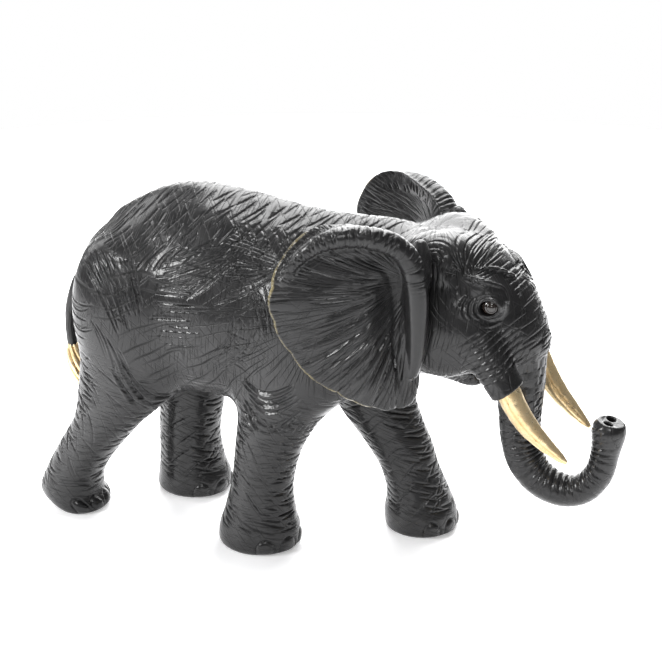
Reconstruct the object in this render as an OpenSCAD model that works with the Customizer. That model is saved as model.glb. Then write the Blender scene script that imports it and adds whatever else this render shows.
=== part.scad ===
// Striding elephant figure: a carved, glued-up wooden body with pegged-in ears, tusks, tail and eyes.
// +X runs from the tail to the trunk, +Y is the animal's left, +Z is up, and the soles stand on Z = 0.

/* [Figure] */
// Height of the back at the hips
hip_height = 180; // [150:1:220]
// Width of the barrel at its widest
barrel_width = 84; // [78:1:90]
// Distance between the centre lines of the two front feet
stance_front = 48; // [46:1:54]
// Distance between the centre lines of the two rear feet
stance_rear = 42; // [42:1:48]

/* [Ears] */
// Sweep of the right ear out from the line of the body, in degrees
ear_sweep_right = 28; // [24:1:32]
// Sweep of the left ear out from the line of the body, in degrees
ear_sweep_left = 25; // [22:1:30]
// Thickness of an ear at its middle
ear_thickness = 4.4; // [4:0.2:6]

/* [Tusks] */
// Diameter of a tusk where it leaves the lip
tusk_d = 11.6; // [10:0.2:13]
// Diameter of the tenon that holds a tusk in the head
tusk_tenon_d = 7; // [6:0.5:8]

/* [Tail] */
// Diameter of the tail at its root
tail_d = 7.6; // [6.6:0.2:9]
// Diameter of the peg that holds the tail in the rump
tail_peg_d = 5; // [4:0.5:5.5]

/* [Joinery] */
// Diameter of the dowels that hold the legs and the neck
dowel_d = 10; // [8:1:10]
// Diameter of the small dowels that hold the ears
pin_d = 5; // [4:0.5:5]
// Gap left for glue around a dowel, on the radius
glue_gap = 0.1; // [0.05:0.05:0.2]

/* [Hidden] */

LACQUER = [0.10, 0.10, 0.11];
GILT = [0.83, 0.64, 0.28];
BEECH = [0.78, 0.62, 0.42];
BEAD = [0.03, 0.03, 0.03];

LEFT = 1;
RIGHT = -1;

// Stations are drawn for a figure 180 high at the hips, and u scales them.
u = hip_height / 180;
body_steps = 36;
leg_steps = 28;
rod_steps = 20;

// Barrel stations: x, top, bottom, half width as a share of half the barrel's width
BARREL = [[-134, 122, 112, 0.10], [-132, 138, 96, 0.34], [-126, 149, 85, 0.60], [-112, 161, 78, 0.80],
          [-94, 172, 74, 0.90], [-76, 178.5, 71.5, 0.95], [-58, 180, 71, 0.99], [-38, 177.5, 71, 1.00],
          [-16, 174, 71.5, 0.96], [4, 172.5, 75, 0.89], [20, 172, 82, 0.79], [34, 172, 91, 0.69],
          [48, 170, 99, 0.62]];

// Leg stations: z, x, distance out from the foot's own line, half length, half width
LEG_FRONT_LEFT = [[0, 44, 0, 17.5, 17], [3, 44.5, 0, 19.2, 18.5], [10, 44, 0, 19.2, 18.5],
                  [20, 42.5, 0, 16.5, 16.5], [33, 37.5, 0, 15.5, 15], [46, 31, 0, 18, 15],
                  [62, 21, 0, 21.5, 15.5], [82, 11, 0, 25, 16], [104, 5, -2, 26, 17],
                  [128, 4, -4, 22, 13]];
LEG_FRONT_RIGHT = [[0, -27, 0, 19.5, 17.5], [3, -27, 0, 21.5, 19], [10, -26.5, 0, 21.5, 19],
                   [20, -26, 0, 18.5, 17], [35, -24.5, 0, 16, 15], [55, -21, 0, 17.5, 15],
                   [76, -14, 0, 22, 16], [100, -5, -2, 26, 17], [128, 3, -4, 22, 13]];
LEG_REAR_LEFT = [[0, -86, 0, 18, 16.5], [3, -86, 0, 20.5, 18], [9, -85.5, 0, 20.5, 18],
                 [19, -87, 0, 18, 16.5], [35, -88, 0, 17, 15.5], [54, -87, 1, 18.5, 16],
                 [72, -90, 1, 25, 18], [94, -95, 0, 30, 20], [120, -98, -3, 30, 18],
                 [142, -98, -6, 22, 12]];
LEG_REAR_RIGHT = [[0, -131, 0, 12, 15], [4, -134, 0, 15.5, 17], [11, -138, 0, 16.6, 18],
                  [22, -134.8, 0, 15.5, 16.5], [36, -126.5, 0, 16.5, 15.5], [54, -113.5, 1, 19, 16],
                  [72, -103, 1, 26, 18], [94, -97, 0, 29.5, 20], [120, -98, -3, 30, 18],
                  [142, -98, -6, 22, 12]];

// Head stations: x, top, bottom, half width
HEAD = [[34, 166, 106, 22], [48, 171, 101, 28], [60, 174, 100, 31], [72, 174.5, 101, 30.5],
        [84, 170, 105, 27.5], [95, 159, 110, 22.5], [104, 147, 114, 17.5], [110.5, 135, 117, 12],
        [113.5, 127, 120, 6]];
// Lower jaw stations along the mid-plane: x, z, radius
JAW = [[48, 108, 9], [62, 105.5, 8.5], [72, 101.5, 6.8], [77.5, 98.6, 4.6], [80.5, 97.4, 2]];
// Trunk stations: x, z, radius
TRUNK = [[90, 138, 15], [97.6, 121, 15.5], [101, 104, 13], [102, 89, 11.4], [102.5, 75, 10.4],
         [105.5, 61, 9.6], [113.5, 50.5, 8.9], [125, 46, 8.3], [135.5, 49, 7.8], [142.5, 58, 7.4],
         [145, 69, 7.2], [146, 80, 8.2]];

// Ear outline stations, measured down the ear: z, front edge, back edge, bulge of the sheet
EAR = [[187, 36, 46, 2], [184.5, 26, 53, 3], [179, 13, 60, 4], [170, 6, 67, 5], [159, 3, 72, 6],
       [148, 3, 73, 6.5], [136, 3, 70, 6.5], [124, 2, 64, 6], [113, 1, 56, 5], [104, 1, 45, 4],
       [97, 3, 31, 3], [92.5, 8, 18, 2]];
// Rolled upper edge of an ear: distance back, z, radius
EAR_ROLL = [[4, 168, 5], [10, 175.5, 5], [22, 180.5, 5], [37, 182.5, 4.6], [50, 179, 3.6], [60, 171, 2.4]];
// Root of an ear, which is fitted to the side of the head: x, y, z, radius
EAR_ROOT = [[55, 33.5, 112, 4.5], [56, 33.5, 124, 6.5], [57, 33, 140, 7], [58, 31.5, 156, 7], [59, 29.5, 166, 6],
            [59, 28, 172, 3.5]];
ear_hinge_right = [63, 33] * u;
ear_hinge_left = [55, 36.1] * u;
ear_drop_left = 6;
ear_pin_z = [128, 160] * u;

// Tail stations: x, z, radius as a share of the root's radius
TAIL = [[-128, 132, 1], [-135, 126, 1], [-140, 118.5, 0.95], [-144.5, 107, 0.88], [-146.4, 95, 0.82],
        [-146, 84, 0.78], [-144.5, 75, 0.74]];
// Tuft stations: x, z, radius
TUFT = [[-146, 83, 2.9], [-145.2, 79, 4.6], [-143.4, 72, 5.6], [-141, 64, 4.6], [-138, 56, 1.6]];
// Tusk stations from the lip: x, z, distance from the mid-plane, radius as a share of the root's radius
TUSK = [[100.6, 108.4, 25, 1], [103, 105, 25.2, 1], [107.5, 96.5, 25.2, 0.96], [113.5, 88, 24.6, 0.85],
        [121, 80.5, 23.6, 0.66], [128, 74.5, 22.6, 0.42], [131.5, 71.8, 22.2, 0.18]];

// Lip sheath that holds a tusk, from inside the cheek to its rim
sheath_from = [84, 19.5, 131] * u;
sheath_to = [102.6, 25, 105.5] * u;
sheath_r = [10, 8.4] * u;
tenon_length = 17;
tail_peg_length = 14;

// Flat faces that the blocks were glued on
neck_x = 42 * u;
front_seat_z = 88 * u;
rear_seat_z = 96 * u;
trunk_seat_z = 112 * u;
trunk_seat_half = 16.4 * u;
trunk_seat_back = 85 * u;
keel_half = 2.6 * u;
far = 400;

// Dowels: length, and the places they cross the glued faces
dowel_length = 36;
trunk_dowel_d = dowel_d - 2;
trunk_dowel_length = 28;
trunk_dowel_at = [99.5 * u, 0, trunk_seat_z];
pin_from = 22 * u;
pin_to = 37 * u;
front_dowel = [[9, 24], [-9, -24]] * u;
rear_dowel = [[-96, 21], [-97, -21]] * u;
neck_dowel_z = [124, 152] * u;

eye_pos = [92, 20.6, 145] * u;
eye_r = 5 * u;
nostril_r = 1.7 * u;
nail_r = 5.2 * u;

// Point at t along rows of numbers, on a smooth curve through every row
function spline(rows, t) =
    let (n = len(rows) - 1, i = min(floor(t), n - 1), f = t - i,
         a = rows[max(i - 1, 0)], b = rows[i], c = rows[i + 1], d = rows[min(i + 2, n)])
    0.5 * (2 * b + (c - a) * f + (2 * a - 5 * b + 4 * c - d) * f * f + (3 * b - a - 3 * c + d) * f * f * f);

// Rows sampled evenly, with a number of steps between each pair
function sampled(rows, steps = 2) = [for (k = [0 : steps * (len(rows) - 1)]) spline(rows, k / steps)];

function signed_power(v, p) = sign(v) * pow(abs(v), p);

// Solid through a list of rings that all have the same number of points
module skin(rings) {
    n = len(rings[0]);
    last = len(rings) - 1;
    sides = [for (r = [0 : last - 1]) for (k = [0 : n - 1]) each
        let (a = r * n + k, b = r * n + (k + 1) % n, c = b + n, d = a + n) [[a, b, c], [a, c, d]]];
    polyhedron([for (ring = rings) each ring],
               concat([[for (k = [n - 1 : -1 : 0]) k]], sides, [[for (k = [0 : n - 1]) last * n + k]]));
}

// Ring across the body, narrower above than below by taper, and squarer as power falls below 1
function upright_ring(x, top, bottom, half_width, taper, power) =
    [for (k = [0 : body_steps - 1]) let (a = 360 * k / body_steps)
        [x, half_width * signed_power(sin(a), power) * (1 - taper * cos(a)),
         (top + bottom) / 2 + (top - bottom) / 2 * signed_power(cos(a), power)]];

// Ring square to a curve through points, where before and after are its neighbours
function curve_ring(before, here, after, radius) =
    let (d = after - before, t = d / norm(d), side = cross(t, [0, 1, 0]), v = side / norm(side), w = cross(v, t))
    [for (k = [0 : rod_steps - 1]) let (a = 360 * k / rod_steps) here + radius * (cos(a) * v + sin(a) * w)];

// Rounded rod through rows of x, y, z and radius
module rod(rows) {
    at = [for (r = rows) [r[0], r[1], r[2]]];
    n = len(rows) - 1;
    skin([for (i = [0 : n]) curve_ring(at[max(i - 1, 0)], at[i], at[min(i + 1, n)], rows[i][3])]);
}

// Stands a piece drawn up the Z axis at one point and aims it at another
module aim(from, to) {
    d = to - from;
    translate(from) rotate([0, acos(d[2] / norm(d)), atan2(d[1], d[0])]) children();
}

// Round hole with room for glue around a dowel of diameter d, centred on the face it crosses
module dowel_bore(d, length) { cylinder(h = length + 1, d = d + 2 * glue_gap, center = true, $fn = 32); }

// Dowel with a chamfer at both ends
module dowel(d, length) {
    chamfer = d / 8;
    cylinder(h = length - 2 * chamfer, d = d, center = true, $fn = 32);
    for (end = [0, 180]) rotate([end, 0, 0]) translate([0, 0, length / 2 - chamfer])
        cylinder(h = chamfer, d1 = d, d2 = d - 2 * chamfer, $fn = 32);
}

module barrel() {
    skin([for (r = sampled(BARREL)) upright_ring(r[0] * u, r[1] * u, r[2] * u, r[3] * barrel_width / 2, 0.12, 1)]);
}

// Whole leg with its toenails, from the sole to well inside the barrel
module leg_form(rows, side, stance) {
    skin([for (r = sampled(rows)) [for (k = [0 : leg_steps - 1]) let (a = -360 * k / leg_steps)
        [(r[1] + r[3] * cos(a)) * u, side * (stance / 2 + r[2] * u) + r[4] * u * sin(a), max(r[0], 0) * u]]]);
    foot = rows[2];
    for (a = [-54, -18, 18, 54])
        translate([(foot[1] + (foot[3] - 2.6) * cos(a)) * u, side * stance / 2 + (foot[4] - 2.6) * u * sin(a),
                   6.6 * u])
            rotate(a) scale([0.75, 0.85, 1.25]) sphere(r = nail_r, $fn = 16);
}

module front_left_form() { leg_form(LEG_FRONT_LEFT, LEFT, stance_front); }
module front_right_form() { leg_form(LEG_FRONT_RIGHT, RIGHT, stance_front); }
module rear_left_form() { leg_form(LEG_REAR_LEFT, LEFT, stance_rear); }
module rear_right_form() { leg_form(LEG_REAR_RIGHT, RIGHT, stance_rear); }

// Block below a glued seat, on one side of the keel
module leg_block(side, x_low, x_high, seat_z) {
    translate([x_low * u, side == LEFT ? keel_half : -far, 0]) cube([(x_high - x_low) * u, far - keel_half, seat_z]);
}

module front_left_block() { leg_block(LEFT, -24, 90, front_seat_z); }
module front_right_block() { leg_block(RIGHT, -62, 24, front_seat_z); }
module rear_left_block() { leg_block(LEFT, -170, -58, rear_seat_z); }
module rear_right_block() { leg_block(RIGHT, -170, -64, rear_seat_z); }
module neck_block() { translate([neck_x, -far / 2, 0]) cube([far, far, far]); }
module trunk_block() {
    translate([trunk_seat_back, -trunk_seat_half, 0]) cube([far, 2 * trunk_seat_half, trunk_seat_z]);
}

module trunk_form() { rod([for (r = sampled(TRUNK)) [r[0], 0, r[1], r[2]] * u]); }

module head_form() {
    skin([for (r = sampled(HEAD)) upright_ring(r[0] * u, r[1] * u, r[2] * u, r[3] * u, 0.04, 0.84)]);
    rod([for (r = sampled(JAW)) [r[0], 0, r[1], r[2]] * u]);
    for (side = [LEFT, RIGHT]) {
        translate([64, side * 16, 160] * u) scale([1.25, 1, 1]) sphere(r = 16 * u, $fn = 32);
        aim([sheath_from[0], side * sheath_from[1], sheath_from[2]],
            [sheath_to[0], side * sheath_to[1], sheath_to[2]])
            cylinder(h = norm(sheath_to - sheath_from), r1 = sheath_r[0], r2 = sheath_r[1], $fn = 32);
    }
}

module eye_form(side) { translate([eye_pos[0], side * eye_pos[1], eye_pos[2]]) sphere(r = eye_r, $fn = 32); }

module tusk_form(side) {
    rod([for (r = sampled(TUSK)) [r[0] * u, side * r[2] * u, r[1] * u, r[3] * tusk_d / 2]]);
}

// Frame of a tusk's tenon: it starts just inside the tusk and runs back into the head
module at_tenon(side) {
    root = [TUSK[1][0], side * TUSK[1][2], TUSK[1][1]] * u;
    aim(root, [sheath_from[0], side * sheath_from[1], sheath_from[2]]) children();
}

module tail_form() { rod([for (r = sampled(TAIL)) [r[0] * u, 0, r[1] * u, r[2] * tail_d / 2]]); }

module at_tail_peg() { aim([TAIL[2][0], 0, TAIL[2][1]] * u, [TAIL[0][0], 0, TAIL[0][1]] * u) children(); }

// Ear as a shaped sheet with a rolled upper edge and a thick root; side sets which way it sweeps
module ear_form(side) {
    sweep = side == LEFT ? ear_sweep_left : ear_sweep_right;
    hinge = side == LEFT ? ear_hinge_left : ear_hinge_right;
    drop = side == LEFT ? ear_drop_left : 0;
    back = [-cos(sweep), side * sin(sweep)];
    out = [sin(sweep), side * cos(sweep)];
    steps = 14;
    function ear_point(s, z, off) = [hinge[0] + back[0] * s * u + out[0] * off,
                                     side * hinge[1] + back[1] * s * u + out[1] * off, (z - drop) * u];
    function face(r, sheet_side) = [for (k = [0 : steps - 1])
        let (f = sheet_side > 0 ? k / steps : 1 - k / steps, c = 2 * f - 1)
        ear_point(r[1] + (r[2] - r[1]) * (1 - cos(180 * f)) / 2, r[0],
                  r[3] * u * sin(180 * f) * 0.9 + sheet_side * ear_thickness / 2 * sqrt(max(1 - c * c, 0)))];
    rings = [for (r = sampled(EAR)) concat(face(r, 1), face(r, -1))];
    skin([for (r = rings) side == LEFT ? r : [for (k = [len(r) - 1 : -1 : 0]) r[k]]]);
    rod([for (r = sampled(EAR_ROLL)) concat(ear_point(r[0], r[1], 2.4 * u), r[2] * u)]);
    rod([for (r = sampled(EAR_ROOT)) [r[0], side * r[1], r[2], r[3]] * u]);
}

module torso() {
    color(LACQUER) difference() {
        union() {
            barrel();
            front_left_form();
            front_right_form();
            rear_left_form();
            rear_right_form();
            head_form();
        }
        front_left_block();
        front_right_block();
        rear_left_block();
        rear_right_block();
        neck_block();
        for (at = front_dowel) translate([at[0], at[1], front_seat_z]) dowel_bore(dowel_d, dowel_length);
        for (at = rear_dowel) translate([at[0], at[1], rear_seat_z]) dowel_bore(dowel_d, dowel_length);
        for (z = neck_dowel_z) translate([neck_x, 0, z]) rotate([0, 90, 0]) dowel_bore(dowel_d, dowel_length);
        at_tail_peg() cylinder(h = tail_peg_length + 13 * u, d = tail_peg_d + 2 * glue_gap, $fn = 32);
    }
}

// Thin gap between the lower jaw and the upper lip
module mouth_slit() {
    translate([74, -16, 104.5] * u) rotate([0, -34, 0]) cube([20, 32, 2] * u);
}

module head() {
    color(LACQUER) difference() {
        intersection() {
            union() {
                barrel();
                head_form();
                trunk_form();
            }
            neck_block();
        }
        trunk_block();
        for (side = [LEFT, RIGHT]) {
            eye_form(side);
            tusk_form(side);
            at_tenon(side) cylinder(h = tenon_length + 1, d = tusk_tenon_d + 2 * glue_gap, $fn = 32);
            for (z = ear_pin_z) ear_pin_place(side, z) dowel_bore(pin_d, pin_to - pin_from);
        }
        for (z = neck_dowel_z) translate([neck_x, 0, z]) rotate([0, 90, 0]) dowel_bore(dowel_d, dowel_length);
        translate(trunk_dowel_at) dowel_bore(trunk_dowel_d, trunk_dowel_length);
        mouth_slit();
    }
}

module trunk() {
    color(LACQUER) difference() {
        intersection() {
            trunk_form();
            trunk_block();
        }
        translate(trunk_dowel_at) dowel_bore(trunk_dowel_d, trunk_dowel_length);
        tip = TRUNK[len(TRUNK) - 1];
        for (side = [LEFT, RIGHT])
            translate([tip[0], side * 2.7, tip[1] - 6] * u) cylinder(h = 12 * u, r = nostril_r, $fn = 24);
    }
}

// Leg with its share of the belly, cut flat where it was glued to the barrel
module leg(at, seat_z) {
    color(LACQUER) difference() {
        intersection() {
            union() {
                barrel();
                children(0);
            }
            children(1);
        }
        translate([at[0], at[1], seat_z]) dowel_bore(dowel_d, dowel_length);
    }
}

module leg_front_left() { leg(front_dowel[0], front_seat_z) { front_left_form(); front_left_block(); } }
module leg_front_right() { leg(front_dowel[1], front_seat_z) { front_right_form(); front_right_block(); } }
module leg_rear_left() { leg(rear_dowel[0], rear_seat_z) { rear_left_form(); rear_left_block(); } }
module leg_rear_right() { leg(rear_dowel[1], rear_seat_z) { rear_right_form(); rear_right_block(); } }

// Place of an ear dowel, which runs outward from the head into the ear's root
module ear_pin_place(side, z) {
    translate([57 * u, side * (pin_from + pin_to) / 2, z]) rotate([90, 0, 0]) children();
}

module ear(side) {
    color(LACQUER) difference() {
        ear_form(side);
        head_form();
        barrel();
        for (z = ear_pin_z) ear_pin_place(side, z) dowel_bore(pin_d, pin_to - pin_from);
    }
}

module ear_left() { ear(LEFT); }
module ear_right() { ear(RIGHT); }

module tusk(side) {
    color(GILT) {
        tusk_form(side);
        at_tenon(side) cylinder(h = tenon_length, d = tusk_tenon_d, $fn = 32);
    }
}

module tusk_left() { tusk(LEFT); }
module tusk_right() { tusk(RIGHT); }

module tail() {
    color(LACQUER) {
        difference() {
            tail_form();
            barrel();
        }
        at_tail_peg() cylinder(h = tail_peg_length + 12 * u, d = tail_peg_d, $fn = 32);
    }
}

module tail_tuft() {
    color(GILT) difference() {
        rod([for (r = sampled(TUFT)) [r[0], 0, r[1], r[2]] * u]);
        tail_form();
    }
}

module eye_left() { color(BEAD) eye_form(LEFT); }
module eye_right() { color(BEAD) eye_form(RIGHT); }

module neck_dowels() {
    color(BEECH) for (z = neck_dowel_z)
        translate([neck_x, 0, z]) rotate([0, 90, 0]) dowel(dowel_d, dowel_length);
}

module trunk_dowel() { color(BEECH) translate(trunk_dowel_at) dowel(trunk_dowel_d, trunk_dowel_length); }

module leg_dowels() {
    color(BEECH) {
        for (at = front_dowel) translate([at[0], at[1], front_seat_z]) dowel(dowel_d, dowel_length);
        for (at = rear_dowel) translate([at[0], at[1], rear_seat_z]) dowel(dowel_d, dowel_length);
    }
}

module ear_dowels() {
    color(BEECH) for (side = [LEFT, RIGHT]) for (z = ear_pin_z)
        ear_pin_place(side, z) dowel(pin_d, pin_to - pin_from);
}

torso();
head();
trunk();
ear_left();
ear_right();
tusk_left();
tusk_right();
leg_front_left();
leg_front_right();
leg_rear_left();
leg_rear_right();
tail();
tail_tuft();
eye_left();
eye_right();
neck_dowels();
trunk_dowel();
leg_dowels();
ear_dowels();
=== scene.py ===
"""Striding elephant figure, carved and glued up in wood, lacquered black and gilded, on its fixed frame."""

import logging
import math
from dataclasses import dataclass, field
from enum import Enum
from typing import Callable

import bpy
import numpy as np
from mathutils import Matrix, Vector


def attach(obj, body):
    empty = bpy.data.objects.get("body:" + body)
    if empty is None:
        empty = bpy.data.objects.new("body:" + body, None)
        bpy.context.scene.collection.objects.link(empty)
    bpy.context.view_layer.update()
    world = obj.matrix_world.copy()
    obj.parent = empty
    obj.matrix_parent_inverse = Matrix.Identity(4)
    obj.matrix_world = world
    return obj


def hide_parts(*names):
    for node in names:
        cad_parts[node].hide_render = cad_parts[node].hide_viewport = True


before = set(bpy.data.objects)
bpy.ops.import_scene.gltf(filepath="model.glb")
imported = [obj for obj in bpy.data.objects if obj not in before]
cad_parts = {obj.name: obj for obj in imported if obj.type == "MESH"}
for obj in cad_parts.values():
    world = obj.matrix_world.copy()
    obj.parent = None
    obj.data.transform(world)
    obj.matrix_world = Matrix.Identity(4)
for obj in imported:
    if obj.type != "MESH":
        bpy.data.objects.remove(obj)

log = logging.getLogger("elephant")

MM = 0.001
FAR = 60.0
SIDE_SHIFT = 900.0
CUT_EDGE, SWEPT_EDGE = 62.0, 55.0
BOX_ALL = ((-1e3,) * 3, (1e3,) * 3)
LEFT, RIGHT = 1.0, -1.0

Floats = np.ndarray


# ---------------------------------------------------------------- small sums


def smoothstep(low: float, high: float, value: Floats) -> Floats:
    """Eases from 0 at low to 1 at high."""
    t = np.clip((value - low) / (high - low), 0.0, 1.0)
    return t * t * (3.0 - 2.0 * t)


def bell(value: Floats, centre: float, width: float) -> Floats:
    """Smooth hump of height 1 round a centre."""
    return np.exp(-(((value - centre) / width) ** 2))


def blend_near(a: Floats, b: Floats, radius: float) -> Floats:
    """Union of two distances with a fillet of about the given radius."""
    h = np.maximum(radius - np.abs(a - b), 0.0) / radius
    return np.minimum(a, b) - h * h * radius * 0.25


def blend_far(a: Floats, b: Floats, radius: float) -> Floats:
    """Intersection of two distances with a rounded edge."""
    return -blend_near(-a, -b, radius)


def smooth_rows(rows: list, steps: int) -> Floats:
    """Samples a smooth curve through every row.

    Args:
        rows: Rows of numbers, one for each station.
        steps: Samples between one station and the next.

    Returns:
        One row for each sample, the first and last stations included.
    """
    r = np.array(rows, float)
    last = len(r) - 1
    t = np.arange(steps * last + 1) / steps
    i = np.minimum(t.astype(int), last - 1)
    f = (t - i)[:, None]
    a, b, c, d = r[np.maximum(i - 1, 0)], r[i], r[i + 1], r[np.minimum(i + 2, last)]
    cubic = (3 * b - a - 3 * c + d) * f + (2 * a - 5 * b + 4 * c - d)
    return 0.5 * (2 * b + (c - a) * f + cubic * f * f)


def chance(i: Floats, j: Floats, seed: int) -> Floats:
    """Fixed pseudo-random number from 0 to 1 for each pair of whole numbers.

    Args:
        i: First whole number.
        j: Second whole number.
        seed: Number that picks one set of draws.

    Returns:
        One number for each pair.
    """
    h = (i.astype(np.int64) * 374761393 + j.astype(np.int64) * 668265263 + seed * 974634777) & 0xFFFFFFFF
    h = ((h ^ (h >> 13)) * 1274126177) & 0xFFFFFFFF
    h = ((h ^ (h >> 16)) * 2246822519) & 0xFFFFFFFF
    return ((h ^ (h >> 15)) & 0xFFFFFF) / float(0x1000000)


def felt(weight: Floats, cuts: Callable[[Floats], Floats]) -> Floats:
    """A pattern times its weight, worked out only where the weight is felt.

    Args:
        weight: Share of the pattern at each point.
        cuts: Gives the pattern for a mask of points.

    Returns:
        One depth for each point.
    """
    out, here = np.zeros(len(weight)), weight > 0.02
    if here.any():
        out[here] = weight[here] * cuts(here)
    return out


@dataclass(frozen=True)
class Strokes:
    """Rows of short V cuts, as a carver lays them side by side.

    The fields are the longest stroke, the distance between rows, the half width of a cut at its middle, the
    number that picks one arrangement, how far a stroke may turn from its row in radians, how far its ends sink
    below its middle as a share of its length, and the share of the places that hold a stroke.
    """

    length: float
    spacing: float
    width: float
    seed: int
    slant: float = 0.2
    bow: float = 0.0
    fill: float = 0.85

    def depth(self, u: Floats, v: Floats) -> Floats:
        """Lays the strokes out.

        Args:
            u: Distance along the strokes.
            v: Distance across them.

        Returns:
            Depth of the cut, from 0 on the ground to 1 at its bottom.
        """
        depth = np.zeros_like(u)
        row0, place0 = np.floor(v / self.spacing), np.floor(u / self.length)
        for dj in (-2, -1, 0, 1, 2):
            row = row0 + dj
            shift = chance(row, row * 0, self.seed + 5)
            for di in (-1, 0, 1):
                place = place0 + di
                r = [chance(place, row, self.seed + k) for k in range(4)]
                along = u - (place + 0.5 + 0.6 * (r[0] - 0.5) + shift - 0.5) * self.length
                across = v - (row + 0.5 + 0.7 * (r[1] - 0.5)) * self.spacing
                turn = self.slant * (2.0 * r[2] - 1.0)
                half = self.length * (0.28 + 0.3 * r[3])
                across = across - turn * along + self.bow * along * along / self.length
                taper = np.clip(1.0 - (along / half) ** 2, 0.0, 1.0)
                groove = np.clip(1.0 - np.abs(across) / (self.width * np.sqrt(taper) + 1e-4), 0.0, 1.0)
                depth = np.maximum(depth, groove * np.sqrt(taper) * (r[1] * 7.0 % 1.0 < self.fill))
        return depth

    def felt(self, weight: Floats, u: Floats, v: Floats) -> Floats:
        """Depth of the strokes times their weight, worked out only where it is felt."""
        return felt(weight, lambda m: self.depth(u[m], v[m]))


def rolling(p: Floats, wavelength: float, seed: int) -> Floats:
    """Soft unevenness from -1 to 1 that a knife leaves on a rounded surface.

    Args:
        p: Points of the figure, one a row.
        wavelength: Size of the unevenness, in millimetres.
        seed: Number that picks one set of draws.

    Returns:
        One number for each point.
    """
    rng = np.random.default_rng(seed)
    total = np.zeros(len(p))
    for _ in range(5):
        direction = rng.normal(size=3)
        direction *= 2.0 * math.pi / (wavelength * rng.uniform(0.7, 1.5) * np.linalg.norm(direction))
        total += np.sin(p @ direction + rng.uniform(0.0, 6.28))
    return total / 3.0


# ---------------------------------------------------------------- solid forms


@dataclass(frozen=True)
class Loft:
    """Rounded form along X: rows of x, top, bottom and half width."""

    rows: tuple
    taper: float = 0.0
    power: float = 1.0

    def table(self) -> Floats:
        """Finely sampled stations, by column."""
        return smooth_rows(self.rows, 12).T

    def distance(self, x: Floats, y: Floats, z: Floats) -> Floats:
        """Signed distance along the ray from the form's middle line, negative inside.

        Args:
            x: Distance ahead, in millimetres.
            y: Distance to the left.
            z: Height.

        Returns:
            Distance in millimetres.
        """
        at, top, bottom, half = self.table()
        t = np.clip(x, at[0], at[-1])
        top, bottom, half = np.interp(t, at, top), np.interp(t, at, bottom), np.interp(t, at, half)
        middle, tall = (top + bottom) / 2, (top - bottom) / 2
        c = (z - middle) / tall
        wide = half * (1.0 - self.taper * np.clip(c, -1.0, 1.0))
        n = 2.0 / self.power
        q = np.maximum((np.abs(y / wide) ** n + np.abs(c) ** n) ** (1.0 / n), 0.02)
        r = np.hypot(y, z - middle)
        body = r - r / q
        beyond = np.abs(x - t)
        return np.where(beyond > 0, np.hypot(np.maximum(body, 0.0), beyond),
                        np.maximum(body, np.maximum(at[0] - x, x - at[-1])))


@dataclass(frozen=True)
class Column:
    """Leg form up Z: rows of z, x, distance out, half length and half width."""

    rows: tuple
    side: float
    line: float

    def middle(self, z: Floats) -> tuple[Floats, Floats, Floats, Floats]:
        """Centre and half sizes of the leg at a height.

        Args:
            z: Height.

        Returns:
            Middle ahead and to the left, and the two half sizes.
        """
        at, cx, out, length, width = smooth_rows(self.rows, 12).T
        t = np.clip(z, 0.0, at[-1])
        x, y = np.interp(t, at, cx), self.side * (self.line + np.interp(t, at, out))
        return x, y, np.interp(t, at, length), np.interp(t, at, width)

    def distance(self, x: Floats, y: Floats, z: Floats) -> Floats:
        """Signed distance from the leg's side, cut flat at the sole.

        Args:
            x: Distance ahead, in millimetres.
            y: Distance to the left.
            z: Height.

        Returns:
            Distance in millimetres.
        """
        cx, cy, length, width = self.middle(z)
        q = np.maximum(np.hypot((x - cx) / length, (y - cy) / width), 0.02)
        r = np.hypot(x - cx, y - cy)
        top = float(self.rows[-1][0])
        return blend_far(blend_far(r - r / q, -z, 1.6), z - top, 8.0)


@dataclass(frozen=True)
class Rod:
    """Round rod through rows of x, y, z and radius."""

    rows: tuple
    steps: int = 5

    def nearest(self, x: Floats, y: Floats, z: Floats) -> tuple[Floats, Floats, Floats, Floats]:
        """Finds the closest point of the rod's middle line.

        Args:
            x: Distance ahead, in millimetres.
            y: Distance to the left.
            z: Height.

        Returns:
            Distance from the surface, distance along the rod, and the radius and index there.
        """
        line = smooth_rows(self.rows, self.steps)
        best = along = radius = index = None
        travelled = 0.0
        for k, (a, b) in enumerate(zip(line[:-1], line[1:])):
            d = b[:3] - a[:3]
            size = float(np.linalg.norm(d))
            t = np.clip(((x - a[0]) * d[0] + (y - a[1]) * d[1] + (z - a[2]) * d[2]) / size**2, 0.0, 1.0)
            r = a[3] + (b[3] - a[3]) * t
            off = (x - a[0] - d[0] * t) ** 2 + (y - a[1] - d[1] * t) ** 2 + (z - a[2] - d[2] * t) ** 2
            gap = np.sqrt(off) - r
            if best is None:
                best, along, radius, index = gap, t * size, r, k + t
            else:
                closer = gap < best
                best = np.where(closer, gap, best)
                along = np.where(closer, travelled + t * size, along)
                radius = np.where(closer, r, radius)
                index = np.where(closer, k + t, index)
            travelled += size
        return best, along, radius, index

    def distance(self, x: Floats, y: Floats, z: Floats) -> Floats:
        """Signed distance from the rod, with round ends."""
        return self.nearest(x, y, z)[0]


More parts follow.
